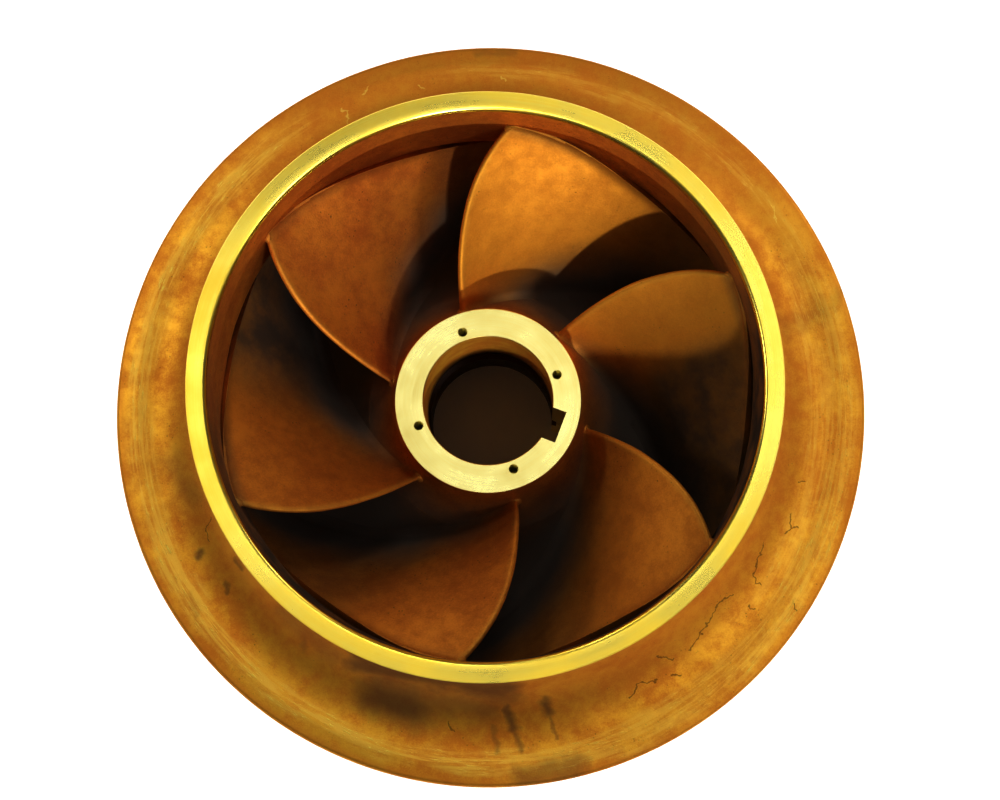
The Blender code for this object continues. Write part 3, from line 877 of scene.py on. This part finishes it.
def cast_bronze(finish):
    """Orange brown cast bronze, for the outside of the shrouds."""
    def make():
        material, tree, shader = new_material("cast_bronze_finish", 0.8, 0.3)
        parts = groups()
        place = tree.place()
        radius, height, direction = polar(tree, place)
        skin = tree.group(parts["cast"], pale=finish.cast_pale[:], deep=finish.cast_deep[:],
                          mottle_size=0.035, grain_size=0.0010, pits=0.6)
        front = tree.ramp(height, 0.066, 0.072)
        red_side = tree.vector("DOT_PRODUCT", direction, (0.26, 0.97, 0.0), out="Value")
        reddened_and_shaded = tree.math("MULTIPLY", tree.ramp(red_side, 0.35, 0.85), 0.6)
        # Painted shade at the foot of the ring.
        ring_foot_shade = tree.ramp(radius, 0.200, 0.172, 0.0, 0.45)
        reddened_and_shaded = tree.math("MAXIMUM", reddened_and_shaded, ring_foot_shade)
        colour = tree.mix(tree.math("MULTIPLY", reddened_and_shaded, front), skin["Colour"], finish.cast_red_and_shade[:])
        rim = tree.ramp(radius, 0.2165, 0.2215, 0.0, 0.55)
        colour = tree.mix(tree.math("MULTIPLY", rim, front), colour, finish.cast_deep[:])
        height_sum = skin["Height"]
        for degrees, spread, start, end, strength in RUBBED_BANDS:
            band = tree.group(parts["band"], start=start, end=end, softness=0.004,
                              towards=on_shroud(degrees, 1000)[:], spread=math.cos(math.radians(spread)))
            gold = tree.math("MULTIPLY", tree.math("MULTIPLY", band["Mask"], front), strength)
            colour = tree.mix(gold, colour, finish.band_gold[:])
            bright = tree.math("MULTIPLY", tree.math("MULTIPLY", band["Bright"], front), strength)
            colour = tree.mix(bright, colour, finish.turned_bright[:])
            height_sum = tree.math("ADD", height_sum, bright)
        # The stain marks beside the ring are painted shade; the other stain marks, the drips, cracks and scratches
        # are real marks.
        stain_and_shade_cover = strokes(tree, strayed_place(tree, 50.0, 0.020), wide_rows(STAINS_AND_SHADE), 1.0)
        drips = strokes(tree, strayed_place(tree, 180.0, 0.006), wide_rows(DRIPS), 1.0)
        thin_place = strayed_place(tree, 260.0, 0.006)
        cracks = strokes(tree, thin_place, thin_rows(CRACKS), 0.6)
        scratches = strokes(tree, thin_place, thin_rows(BRIGHT_SCRATCHES), 0.6)
        stained_and_shaded = tree.math("MULTIPLY", tree.math("MAXIMUM", stain_and_shade_cover, drips), front)
        colour = tree.mix(stained_and_shaded, colour, finish.cast_stain_and_shade[:])
        colour = tree.mix(tree.math("MULTIPLY", cracks, front), colour, finish.stain[:])
        colour = tree.mix(tree.math("MULTIPLY", scratches, front), colour, finish.turned_bright[:])
        height_sum = tree.math("SUBTRACT", height_sum, tree.math("MULTIPLY", cracks, 1.5))
        tree.feed(shader.inputs["Base Color"], colour)
        tree.feed(shader.inputs["Roughness"], skin["Roughness"])
        tree.feed(shader.inputs["Normal"], bump(tree, height_sum, 0.5, 0.00025))
        return material
    return shared("cast_bronze_finish", make)


def waterway_bronze(finish):
    """Dark red brown cast bronze, for the vanes and the walls of the waterway."""
    def make():
        material, tree, shader = new_material("waterway_bronze_finish", 0.75, 0.3)
        parts = groups()
        skin = tree.group(parts["cast"], pale=finish.water_pale[:], deep=finish.water_deep[:],
                          mottle_size=0.04, grain_size=0.0011, pits=0.9)
        wear_with_highlight = tree.group(parts["edge"], reach=0.0018)
        # Painted shade: the waterway darkens deeper down.
        deep = tree.group(parts["depth_shade"], top=0.090, bottom=0.052)
        uneven = tree.ramp(tree.noise(tree.place(), 45.0, 5.0, 0.6), 0.3, 0.7, 0.75, 1.2)
        # Painted shade deep in some vanes' passages, along the shroud wall and on the throat wall.
        painted_passage_shade = tree.math("MULTIPLY", tree.attribute("painted_passage_shade"), uneven)
        dark = tree.math("MAXIMUM", deep["Mask"], painted_passage_shade)
        # Painted light: a brighter colour on some vanes.
        colour = tree.mix(tree.attribute("painted_light_amount"), skin["Colour"], finish.water_lit[:])
        colour = tree.mix(deep["Mask"], colour, finish.depth_shade[:])
        colour = tree.mix(painted_passage_shade, colour, finish.painted_passage_shade[:])
        # Partly wear and partly a painted highlight along the leading edge.
        colour = tree.mix(tree.math("MULTIPLY", wear_with_highlight["Mask"], 0.2), colour, finish.band_gold[:])
        tree.feed(shader.inputs["Base Color"], colour)
        tree.feed(shader.inputs["Metallic"], tree.ramp(dark, 0.0, 1.0, 0.75, 0.2))
        tree.feed(shader.inputs["Roughness"], skin["Roughness"])
        tree.feed(shader.inputs["Normal"], bump(tree, skin["Height"], 0.6, 0.0003))
        return material
    return shared("waterway_bronze_finish", make)


# Pieces


def build_eye_ring(sizes, finish):
    """The turned ring around the eye, cast on its inner wall."""
    centre = (EYE_RADIUS + sizes.ring_round, RING_TOP - sizes.ring_round)
    round_edge = arc(centre, (sizes.ring_round, sizes.ring_round), 180, 90, 10)
    outer_top = (RING_RADIUS - sizes.ring_edge, RING_TOP)
    outer_edge = (RING_RADIUS, RING_TOP - sizes.ring_edge)
    stretches = [
        (straight(round_edge[-1], outer_top, 0.003), 0, 0.0),
        (straight(outer_top, outer_edge, 0.0003), 0, 0.0),
        (straight(outer_edge, (RING_RADIUS, RING_SEAT), 0.004), 0, 0.0),
        (straight((RING_RADIUS, RING_SEAT), (EYE_RADIUS, RING_SEAT), 0.02), 0, 0.0),
        (straight((EYE_RADIUS, RING_SEAT), round_edge[0]), 1, 0.0),
        (round_edge, 0, 0.0),
    ]
    mesh = turned_mesh("eye_ring_turned", stretches)
    throat_painted_shade(mesh)
    shade(mesh)
    turned = turned_bronze("ring_bronze_finish", finish.turned_bright[:], finish.turned_deep[:])
    materials = [turned, waterway_bronze(finish)]
    place_piece("eye_ring_turned", mesh, materials, ["eye_ring"])


def build_front_shroud(sizes, finish):
    """The neck, bell and rim as the one cast wall that they are."""
    radii = (BELL_END_RADIUS - RING_RADIUS, BELL_TOP - RIM_TOP)
    bell = arc((BELL_END_RADIUS, BELL_TOP), radii, 180, 270, 90)
    edge_top = RIM_TOP - sizes.rim_fall
    edge_centre = (OUTER_RADIUS - sizes.rim_round, edge_top - sizes.rim_round)
    edge = arc(edge_centre, (sizes.rim_round, sizes.rim_round), 90, 0, 8)
    corner = (OUTER_RADIUS, RIM_UNDERSIDE)
    inner = even(shroud_curve(90))[::-1]
    stretches = [
        (straight((RING_RADIUS, RING_SEAT), (RING_RADIUS, BELL_TOP)), 0, 1.0),
        (even(bell), 0, 1.0),
        (straight((BELL_END_RADIUS, RIM_TOP), (sizes.rim_band, RIM_TOP)), 0, 0.5),
        (straight((sizes.rim_band, RIM_TOP), edge[0]), 0, 0.7),
        (edge, 0, 0.5),
        (straight(edge[-1], corner, 0.001), 0, 0.0),
        (inner, 1, 1.0),
        (straight(inner[-1], (RING_RADIUS, RING_SEAT), 0.02), 0, 0.0),
    ]
    mesh = turned_mesh("front_shroud_casting", stretches)
    throat_painted_shade(mesh)
    roughen(mesh, sizes)
    shade(mesh)
    materials = [cast_bronze(finish), waterway_bronze(finish)]
    place_piece("front_shroud_casting", mesh, materials, ["front_shroud", "shroud_neck"])


def build_back_shroud(sizes, finish):
    """The plate behind the vanes."""
    seat = BOSS_RADIUS + SEAT_GAP
    recess = BACK_FACE + RECESS_DEPTH
    plate = even(hub_curve(160, shoulder_radius()))
    chamfer = (OUTER_RADIUS, BACK_FACE + sizes.rim_round)
    outer_back = (OUTER_RADIUS - sizes.rim_round, BACK_FACE)
    fillet = arc((seat + BOSS_FILLET, recess - BOSS_FILLET), (BOSS_FILLET, BOSS_FILLET), 90, 180, 6)
    stretches = [
        (plate, 1, 1.0),
        (straight(plate[-1], chamfer, 0.001), 0, 0.0),
        (straight(chamfer, outer_back, 0.001), 0, 0.3),
        (straight(outer_back, (RECESS_OUTER_RADIUS, BACK_FACE), 0.003), 0, 1.0),
        (straight((RECESS_OUTER_RADIUS, BACK_FACE), (RECESS_INNER_RADIUS, recess), 0.003), 0, 1.0),
        (straight((RECESS_INNER_RADIUS, recess), fillet[0], 0.003), 0, 1.0),
        (fillet, 0, 1.0),
        (straight(fillet[-1], (seat, SHOULDER_HEIGHT), 0.01), 0, 0.0),
        (straight((seat, SHOULDER_HEIGHT), plate[0], 0.02), 0, 0.0),
    ]
    mesh = turned_mesh("back_shroud_casting", stretches)
    roughen(mesh, sizes)
    shade(mesh)
    materials = [cast_bronze(finish), waterway_bronze(finish)]
    place_piece("back_shroud_casting", mesh, materials, ["back_shroud"])


def cutter(name, mesh):
    """A hidden object that cuts another."""
    piece = bpy.data.objects.new(name, mesh)
    bpy.context.scene.collection.objects.link(piece)
    return piece


def keyway_mesh():
    """A bar through the bore, as wide as the key."""
    start = BORE_RADIUS / 2
    corners = []
    for height in (-OVERSHOOT, HUB_LENGTH + OVERSHOOT):
        for side in (-KEY_WIDTH / 2, KEY_WIDTH / 2):
            for reach in (start, KEY_FLOOR):
                corners.append((reach, side, height))
    faces = [(0, 2, 3, 1), (4, 5, 7, 6), (0, 1, 5, 4), (2, 6, 7, 3), (0, 4, 6, 2), (1, 3, 7, 5)]
    mesh = mesh_from("keyway_cutter", np.array(corners), faces)
    mesh.transform(Matrix.Rotation(KEY_ANGLE, 4, "Z"))
    return mesh


def tapped_hole_mesh(sizes, index):
    """A drill and its thread, with a countersunk mouth."""
    mouth = TAPPED_RADIUS + sizes.thread_depth / 2
    section = [(0.0, OVERSHOOT), (mouth, OVERSHOOT), (mouth, 0.0)]
    depth = sizes.thread_depth / 2
    while depth < TAPPED_DEPTH - sizes.thread_pitch:
        section.append((TAPPED_RADIUS, -depth))
        section.append((TAPPED_RADIUS + sizes.thread_depth, -depth - sizes.thread_pitch / 2))
        depth += sizes.thread_pitch
    section += [(TAPPED_RADIUS, -depth), (TAPPED_RADIUS, -TAPPED_DEPTH), (0.0, -TAPPED_DEPTH - TAPPED_RADIUS / 2)]
    angles = np.linspace(0.0, math.tau, THREAD_SIDES, endpoint=False)
    rows = section[1:-1]
    points = [(r * math.cos(a), r * math.sin(a), z) for r, z in rows for a in angles]
    faces = []
    for row in range(len(rows) - 1):
        for i in range(THREAD_SIDES):
            j = (i + 1) % THREAD_SIDES
            low, high = row * THREAD_SIDES, (row + 1) * THREAD_SIDES
            faces.append((low + i, high + i, high + j, low + j))
    points += [(0.0, 0.0, section[0][1]), (0.0, 0.0, section[-1][1])]
    last = (len(rows) - 1) * THREAD_SIDES
    for i in range(THREAD_SIDES):
        j = (i + 1) % THREAD_SIDES
        faces.append((len(points) - 2, i, j))
        faces.append((len(points) - 1, last + j, last + i))
    mesh = mesh_from("tapped_hole_cutter", np.array(points), faces)
    angle = TAPPED_ANGLE + index * math.tau / TAPPED_HOLES
    place = Matrix.Translation((TAPPED_CIRCLE * math.cos(angle), TAPPED_CIRCLE * math.sin(angle), HUB_LENGTH))
    mesh.transform(place)
    return mesh


def build_hub(sizes, finish):
    """The hub, with its relieved bore, keyway and tapped holes."""
    chamfer = sizes.hub_chamfer
    nose = even(hub_curve(160, HUB_FACE_RADIUS, shoulder_radius()), 0.0014)
    nose = np.vstack([(HUB_FACE_RADIUS, HUB_LENGTH - chamfer), nose[2:]])
    bore_front = HUB_LENGTH - FRONT_LAND
    line = [
        (BOSS_RADIUS, SHOULDER_HEIGHT), (BOSS_RADIUS, chamfer), (BOSS_RADIUS - chamfer, 0.0),
        (BORE_RADIUS + chamfer, 0.0), (BORE_RADIUS, chamfer), (BORE_RADIUS, REAR_LAND),
        (RELIEF_RADIUS, REAR_LAND + RELIEF_SLOPE), (RELIEF_RADIUS, bore_front - RELIEF_SLOPE),
        (BORE_RADIUS, bore_front), (BORE_RADIUS, HUB_LENGTH - chamfer),
        (BORE_RADIUS + chamfer, HUB_LENGTH), (HUB_FACE_RADIUS - chamfer, HUB_LENGTH),
        (HUB_FACE_RADIUS, HUB_LENGTH - chamfer),
    ]
    slots = [0, 0, 0, 0, 2, 2, 2, 2, 2, 0, 0, 0]
    stretches = [(nose, 1, 1.0), (straight(nose[-1], line[0], 0.02), 0, 0.0)]
    stretches += [(straight(a, b, 0.004), slot, 0.0) for a, b, slot in zip(line, line[1:], slots)]
    mesh = turned_mesh("hub_blank", stretches)
    roughen(mesh, sizes)
    turned = turned_bronze("hub_bronze_finish", finish.hub_pale[:], finish.hub_deep[:])
    for material in (turned, waterway_bronze(finish), bore_bronze(finish)):
        mesh.materials.append(material)
    blank = bpy.data.objects.new("hub_blank", mesh)
    bpy.context.scene.collection.objects.link(blank)
    tools = [cutter("keyway_cutter", keyway_mesh())]
    tools += [cutter("tapped_hole_cutter", tapped_hole_mesh(sizes, i)) for i in range(TAPPED_HOLES)]
    for tool in tools:
        boolean = blank.modifiers.new("Cut", "BOOLEAN")
        boolean.operation = "DIFFERENCE"
        boolean.solver = "EXACT"
        boolean.object = tool
    bpy.context.view_layer.update()
    finished = blank.evaluated_get(bpy.context.evaluated_depsgraph_get())
    mesh = bpy.data.meshes.new_from_object(finished)
    for old in tools + [blank]:
        bpy.data.objects.remove(old, do_unlink=True)
    shade(mesh)
    for face in mesh.polygons:
        face.use_smooth = abs(face.normal.z) < 0.9999
    place_piece("hub_turned", mesh, [], ["hub"])


# The vanes


def vane_middle(flow, span):
    """Points on the middle of a vane. Flow runs from its leading edge, span from the hub."""
    shroud_line = shroud_curve(GUIDE_STEPS)
    shroud_line[0] = (THROAT_RADIUS, TIP_HEIGHT)
    root = walk(hub_curve(GUIDE_STEPS, ROOT_RADIUS), flow)
    tip = walk(shroud_line, flow)
    section = root + span[..., None] * (tip - root)
    height = section[..., 1] + EDGE_BOW * 4 * span * (1 - span) * (1 - flow) ** 2
    lean = EDGE_LEAN * ((1 - EDGE_LEAN_CURVED) * span + EDGE_LEAN_CURVED * span**3)
    early = WRAP_EARLY[0] + span * (WRAP_EARLY[1] - WRAP_EARLY[0])
    flat_middle = WRAP_FLAT_MIDDLE[0] + span * (WRAP_FLAT_MIDDLE[1] - WRAP_FLAT_MIDDLE[0])
    bend = flow * (1 - flow)
    share = flow + early * bend + flat_middle * bend * (1 - 2 * flow)
    angle = -lean - (WRAP - lean) * share
    return np.stack([section[..., 0] * np.cos(angle), section[..., 0] * np.sin(angle), height], axis=-1)


def unit(vectors):
    """Vectors of length one."""
    return vectors / np.linalg.norm(vectors, axis=-1, keepdims=True)


def vane_ways(flow, span):
    """The way along the vane and the way out of its face."""
    along = vane_middle(flow + PROBE_STEP, span) - vane_middle(np.maximum(flow - PROBE_STEP, 0.0), span)
    across = vane_middle(flow, span + PROBE_STEP) - vane_middle(flow, span - PROBE_STEP)
    return unit(along), unit(np.cross(along, across))


def wall_distance(points):
    """How far points of a vane are from the two walls of the waterway."""
    section = np.stack([np.hypot(points[..., 0], points[..., 1]), points[..., 2]], axis=-1)
    to_hub = distance_to(hub_curve(GUIDE_STEPS), section)
    to_shroud = -distance_to(shroud_curve(GUIDE_STEPS), section)
    return to_hub, to_shroud


def fillet_at(flow, sizes):
    """The radius of a vane's fillets, which are small at its leading edge."""
    growth = np.clip(flow / FILLET_TAPER, 0.0, 1.0)
    return sizes.nose_fillet + (sizes.fillet_radius - sizes.nose_fillet) * growth * growth * (3 - 2 * growth)


def fillet_rise(points, radius):
    """How far a fillet lifts the face of a vane at these points."""
    rise = 0.0
    for gap in wall_distance(points):
        depth = radius - np.clip(gap, 0.0, radius)
        rise = rise + radius - np.sqrt(radius**2 - depth**2)
    return rise


def vane_side(flow, span, side, sizes):
    """Points on one face of a vane, fillets included."""
    fillet = fillet_at(flow, sizes)
    middle = vane_middle(flow, span)
    _, outward = vane_ways(flow, span)
    growth = np.clip(flow / NOSE_TAPER, 0.0, 1.0)
    growth = growth * growth * (3 - 2 * growth)
    half = (NOSE_THICKNESS + (VANE_THICKNESS - NOSE_THICKNESS) * growth) / 2
    rise = fillet_rise(middle, fillet)
    for _ in range(4):
        rise = fillet_rise(middle + outward * (side * (half + rise))[..., None], fillet)
    return middle + outward * (side * (half + rise))[..., None]


def rim_flow(span, side, sizes):
    """How far along its flow each layer of a vane reaches the rim."""
    low = np.full_like(span, 0.9)
    high = np.full_like(span, 1.08)
    for _ in range(18):
        middle = (low + high) / 2
        points = vane_side(middle, span, side, sizes)
        outside = np.hypot(points[:, 0], points[:, 1]) > OUTER_RADIUS
        high = np.where(outside, middle, high)
        low = np.where(outside, low, middle)
    return low


def vane_nose(span, sizes):
    """Points round the leading edge, one row for each step from one face to the other."""
    flow = np.zeros_like(span)
    middle = vane_middle(flow, span)
    along, outward = vane_ways(flow, span)
    rise = fillet_rise(middle, fillet_at(flow, sizes))
    rows = []
    for turn in np.linspace(0.0, math.pi, NOSE_STEPS + 2)[1:-1]:
        side = math.cos(turn) * (NOSE_THICKNESS / 2 + rise)
        ahead = math.sin(turn) * (NOSE_LENGTH + rise)
        rows.append(middle + outward * side[:, None] - along * ahead[:, None])
    return np.stack(rows, axis=1)


def vane_points(sizes):
    """All points of one vane, as layers from below the hub wall to above the shroud wall."""
    turns = np.linspace(0.0, math.pi, VANE_LAYERS)
    span = -0.04 + 1.08 * (1 - np.cos(turns)) / 2
    share = np.linspace(0.0, 1.0, VANE_STATIONS) ** 1.35
    sides = []
    for side in (1.0, -1.0):
        flow = rim_flow(span, side, sizes)[:, None] * share[None, :]
        spans = np.broadcast_to(span[:, None], flow.shape)
        sides.append(vane_side(flow, spans, side, sizes))
    upper, lower = sides
    nose = vane_nose(span, sizes)
    points = np.concatenate([upper[:, ::-1], nose, lower], axis=1)
    walked = np.concatenate([share[::-1], np.zeros(NOSE_STEPS), share])
    return points, np.broadcast_to(walked[None, :], points.shape[:2])


def vane_faces(layers, count):
    """Faces between the layers, and a strip of faces over each end."""
    row = np.arange(layers - 1)[:, None] * count
    column = np.arange(count)[None, :]
    beside = (column + 1) % count
    faces = np.stack([row + column, row + beside, row + count + beside, row + count + column], axis=-1)
    faces = faces.reshape(-1, 4).tolist()
    tip = count // 2
    last = (layers - 1) * count
    for i in range(tip - 1):
        strip = [i, i + 1, count - 2 - i, count - 1 - i]
        faces.append(strip[::-1])
        faces.append([last + corner for corner in strip])
    strip = [tip - 1, tip, tip + 1]
    faces.append(strip[::-1])
    faces.append([last + corner for corner in strip])
    return faces


def faces_outward(mesh):
    """Whether the faces of a closed mesh point out."""
    mesh.calc_loop_triangles()
    corners = np.zeros(len(mesh.loop_triangles) * 3, np.int32)
    mesh.loop_triangles.foreach_get("vertices", corners)
    a, b, c = read_points(mesh)[corners.reshape(-1, 3)].transpose(1, 0, 2)
    return np.sum(a * np.cross(b, c)) > 0


def smooth(value, low, high):
    """A smooth step from 0 to 1."""
    share = np.clip((value - low) / (high - low), 0.0, 1.0)
    return share * share * (3 - 2 * share)


def vane_painted_shade(points, to_shroud, amount, start, full):
    """Painted shade on a vane, growing behind its root and along the shroud wall."""
    behind = np.degrees(-np.arctan2(points[..., 1], points[..., 0]))
    radius = np.hypot(points[..., 0], points[..., 1])
    deep = amount * smooth(behind, start, full) * smooth(radius, 0.088, 0.108)
    return np.maximum(deep, (1 - smooth(to_shroud, 0.001, 0.007)) * amount * 0.6)


def throat_painted_shade(mesh):
    """Painted shade on the throat wall, thinnest on the side away from the viewer."""
    points = read_points(mesh)
    azimuth = np.arctan2(points[:, 1], points[:, 0])
    mark(mesh, "painted_passage_shade", 0.9 * smooth(-np.cos(azimuth - THROAT_LIT_SIDE), -0.7, 0.3))


def build_vanes(sizes, finish):
    """Six like vanes, each with its own casting waves."""
    points, walked = vane_points(sizes)
    layers, count = points.shape[:2]
    faces = vane_faces(layers, count)
    to_hub, to_shroud = wall_distance(points)
    vane_length = 0.24
    for index in range(VANES):
        name = f"vane_{index + 1}_casting"
        mesh = mesh_from(name, points.reshape(-1, 3), faces)
        if not faces_outward(mesh):
            mesh.flip_normals()
        mesh.transform(Matrix.Rotation(ROOT_ANGLE - index * math.tau / VANES, 4, "Z"))
        mark(mesh, "near_edge", np.maximum(EDGE_REACH - walked * vane_length, 0.0))
        # Painted light for each vane, and painted shade deep in its passage and along the shroud wall.
        mark(mesh, "painted_light_amount", np.full(layers * count, VANE_TONES[index][0]))
        mark(mesh, "painted_passage_shade", vane_painted_shade(points, to_shroud, *VANE_TONES[index][1:]).ravel())
        mark(mesh, "cast", np.ones(layers * count))
        roughen(mesh, sizes)
        shade(mesh)
        place_piece(name, mesh, [waterway_bronze(finish)], [f"vane_{index + 1}"])


# Studio


def build_camera(studio):
    """The camera, above the eye and leaning a little toward the viewer."""
    back = Vector((0.0, -math.sin(studio.tilt), math.cos(studio.tilt)))
    right = Vector((1.0, 0.0, 0.0))
    up = back.cross(right)
    rolled_right = math.cos(studio.roll) * right - math.sin(studio.roll) * up
    rolled_up = math.sin(studio.roll) * right + math.cos(studio.roll) * up
    place = Matrix((rolled_right, rolled_up, back)).transposed().to_4x4()
    place.translation = Vector((0.00702, 0.00161, RIM_TOP)) + back * studio.distance
    data = bpy.data.cameras.new("camera")
    data.lens = studio.lens
    data.sensor_width = 36.0
    camera = bpy.data.objects.new("camera", data)
    camera.matrix_world = place
    bpy.context.scene.collection.objects.link(camera)
    bpy.context.scene.camera = camera


def add_light(name, power, azimuth, lean, distance, size, receivers, blockers=None):
    """A softbox that looks at the middle of the impeller and lights only its receivers."""
    data = bpy.data.lights.new(name, "AREA")
    data.energy = power
    data.shape = "RECTANGLE"
    data.size, data.size_y = size
    light = bpy.data.objects.new(name, data)
    way = Vector((math.sin(lean) * math.cos(azimuth), math.sin(lean) * math.sin(azimuth), math.cos(lean)))
    light.location = Vector((0.0, 0.0, HUB_LENGTH)) + way * distance
    light.rotation_euler = way.to_track_quat("Z", "Y").to_euler()
    bpy.context.scene.collection.objects.link(light)
    light.light_linking.receiver_collection = receivers
    if blockers:
        light.light_linking.blocker_collection = blockers
    return light


def collect(name, *pieces):
    """A collection of pieces, for a light to shine on or to be held back by."""
    collection = bpy.data.collections.new(name)
    for piece in pieces:
        collection.objects.link(bpy.data.objects[piece])
    return collection


def build_floor():
    """A plain pale floor."""
    half = 12.0
    corners = np.array([(-half, -half, 0.0), (half, -half, 0.0), (half, half, 0.0), (-half, half, 0.0)])
    mesh = mesh_from("floor", corners, [(0, 1, 2, 3)])
    material, _, shader = new_material("floor", 0.0)
    shader.inputs["Base Color"].default_value = (0.9, 0.9, 0.9, 1.0)
    shader.inputs["Roughness"].default_value = 0.9
    shader.inputs["Specular IOR Level"].default_value = 0.0
    mesh.materials.append(material)
    floor = bpy.data.objects.new("floor", mesh)
    bpy.context.scene.collection.objects.link(floor)


def build_world(studio):
    """Dim light from all round, with a white backdrop."""
    world = bpy.data.worlds.new("studio")
    bpy.context.scene.world = world
    world.use_nodes = True
    tree = Tree(world.node_tree)
    background = world.node_tree.nodes["Background"]
    seen = tree.add("ShaderNodeLightPath").outputs["Is Camera Ray"]
    strength = tree.ramp(seen, 0.0, 1.0, studio.room_light, 1.0)
    background.inputs["Color"].default_value = (1.0, 1.0, 1.0, 1.0)
    tree.feed(background.inputs["Strength"], strength)


def build_stage(studio):
    """Camera, floor, lights and backdrop."""
    build_camera(studio)
    build_floor()
    build_world(studio)
    on_floor = collect("lit_floor", "floor")
    shading_floor = collect("floor_shades", "hub_turned")
    turned = collect("lit_turned", "hub_turned", "eye_ring_turned")
    outside = collect("lit_outside", "front_shroud_casting")
    inside = collect("lit_inside", "hub_turned", "eye_ring_turned", "back_shroud_casting",
                     *(f"vane_{index + 1}_casting" for index in range(VANES)))
    ring = collect("lit_ring", "eye_ring_turned")
    for lights, receivers in ((INSIDE_LIGHTS, inside), (RING_LIGHTS, ring), (OUTSIDE_LIGHTS, outside)):
        for name, (azimuth, lean, share) in lights.items():
            size = KEY_BOX if name == "key" else FILL_BOX
            add_light(name, studio.key_power * share, math.radians(azimuth), math.radians(lean), 2.5,
                      size, receivers)
    add_light("strip", studio.strip_power, math.radians(90), math.radians(8.5), 2.5, STRIP_BOX, turned)
    for azimuth in (0, 120, 240):
        add_light(f"floor_{azimuth}", studio.floor_power, math.radians(azimuth), math.radians(50),
                  4.0, FLOOR_BOX, on_floor, shading_floor)
    view = bpy.context.scene.view_settings
    view.view_transform = "Standard"
    view.gamma = 1 / studio.contrast


# Operators and panel


class ImpellerStep:
    """What all the operators share."""

    bl_options = {"REGISTER", "UNDO"}

    def finish_step(self, build, *groups_of_settings):
        """Run one building step and report that it is done."""
        build(*groups_of_settings)
        return {"FINISHED"}


class IMPELLER_OT_eye_ring(ImpellerStep, bpy.types.Operator):
    """Dress the turned ring around the eye"""

    bl_idname = "impeller.eye_ring"
    bl_label = "Eye ring"

    def execute(self, context):
        scene = context.scene
        return self.finish_step(build_eye_ring, scene.impeller_sizes, scene.impeller_finish)


class IMPELLER_OT_front_shroud(ImpellerStep, bpy.types.Operator):
    """Dress the front shroud with its neck and rim"""

    bl_idname = "impeller.front_shroud"
    bl_label = "Front shroud"

    def execute(self, context):
        scene = context.scene
        return self.finish_step(build_front_shroud, scene.impeller_sizes, scene.impeller_finish)


class IMPELLER_OT_back_shroud(ImpellerStep, bpy.types.Operator):
    """Dress the plate behind the vanes"""

    bl_idname = "impeller.back_shroud"
    bl_label = "Back shroud"

    def execute(self, context):
        scene = context.scene
        return self.finish_step(build_back_shroud, scene.impeller_sizes, scene.impeller_finish)


class IMPELLER_OT_hub(ImpellerStep, bpy.types.Operator):
    """Dress the hub with its bore, keyway and tapped holes"""

    bl_idname = "impeller.hub"
    bl_label = "Hub"

    def execute(self, context):
        scene = context.scene
        return self.finish_step(build_hub, scene.impeller_sizes, scene.impeller_finish)


class IMPELLER_OT_vanes(ImpellerStep, bpy.types.Operator):
    """Dress the six vanes"""

    bl_idname = "impeller.vanes"
    bl_label = "Vanes"

    def execute(self, context):
        scene = context.scene
        return self.finish_step(build_vanes, scene.impeller_sizes, scene.impeller_finish)


class IMPELLER_OT_stage(ImpellerStep, bpy.types.Operator):
    """Set up the camera, the floor and the lights"""

    bl_idname = "impeller.stage"
    bl_label = "Stage"

    def execute(self, context):
        return self.finish_step(build_stage, context.scene.impeller_studio)


class IMPELLER_PT_panel(bpy.types.Panel):
    """Lists the impeller's steps and settings"""

    bl_idname = "IMPELLER_PT_panel"
    bl_label = "Impeller"
    bl_space_type = "VIEW_3D"
    bl_region_type = "UI"
    bl_category = "Impeller"

    def draw(self, context):
        column = self.layout.column()
        for step in OPERATORS:
            column.operator(step.bl_idname)
        for name in SETTINGS:
            values = getattr(context.scene, name)
            box = self.layout.box()
            for key in type(values).__annotations__:
                box.prop(values, key)


OPERATORS = (
    IMPELLER_OT_eye_ring,
    IMPELLER_OT_front_shroud,
    IMPELLER_OT_back_shroud,
    IMPELLER_OT_hub,
    IMPELLER_OT_vanes,
    IMPELLER_OT_stage,
)
SETTINGS = {
    "impeller_sizes": ImpellerSizes,
    "impeller_finish": ImpellerFinish,
    "impeller_studio": ImpellerStudio,
}


def register():
    """Make the settings, operators and panel known to Blender."""
    for name, kind in SETTINGS.items():
        bpy.utils.register_class(kind)
        setattr(bpy.types.Scene, name, bpy.props.PointerProperty(type=kind))
    for kind in (*OPERATORS, IMPELLER_PT_panel):
        bpy.utils.register_class(kind)


def unregister():
    """Take them away again."""
    for kind in reversed((*OPERATORS, IMPELLER_PT_panel)):
        bpy.utils.unregister_class(kind)
    for name, kind in SETTINGS.items():
        delattr(bpy.types.Scene, name)
        bpy.utils.unregister_class(kind)


def main():
    """Register everything, and build the pieces and the stage."""
    register()
    for step in OPERATORS:
        group, name = step.bl_idname.split(".")
        getattr(getattr(bpy.ops, group), name)()


if __name__ == "__main__":
    main()
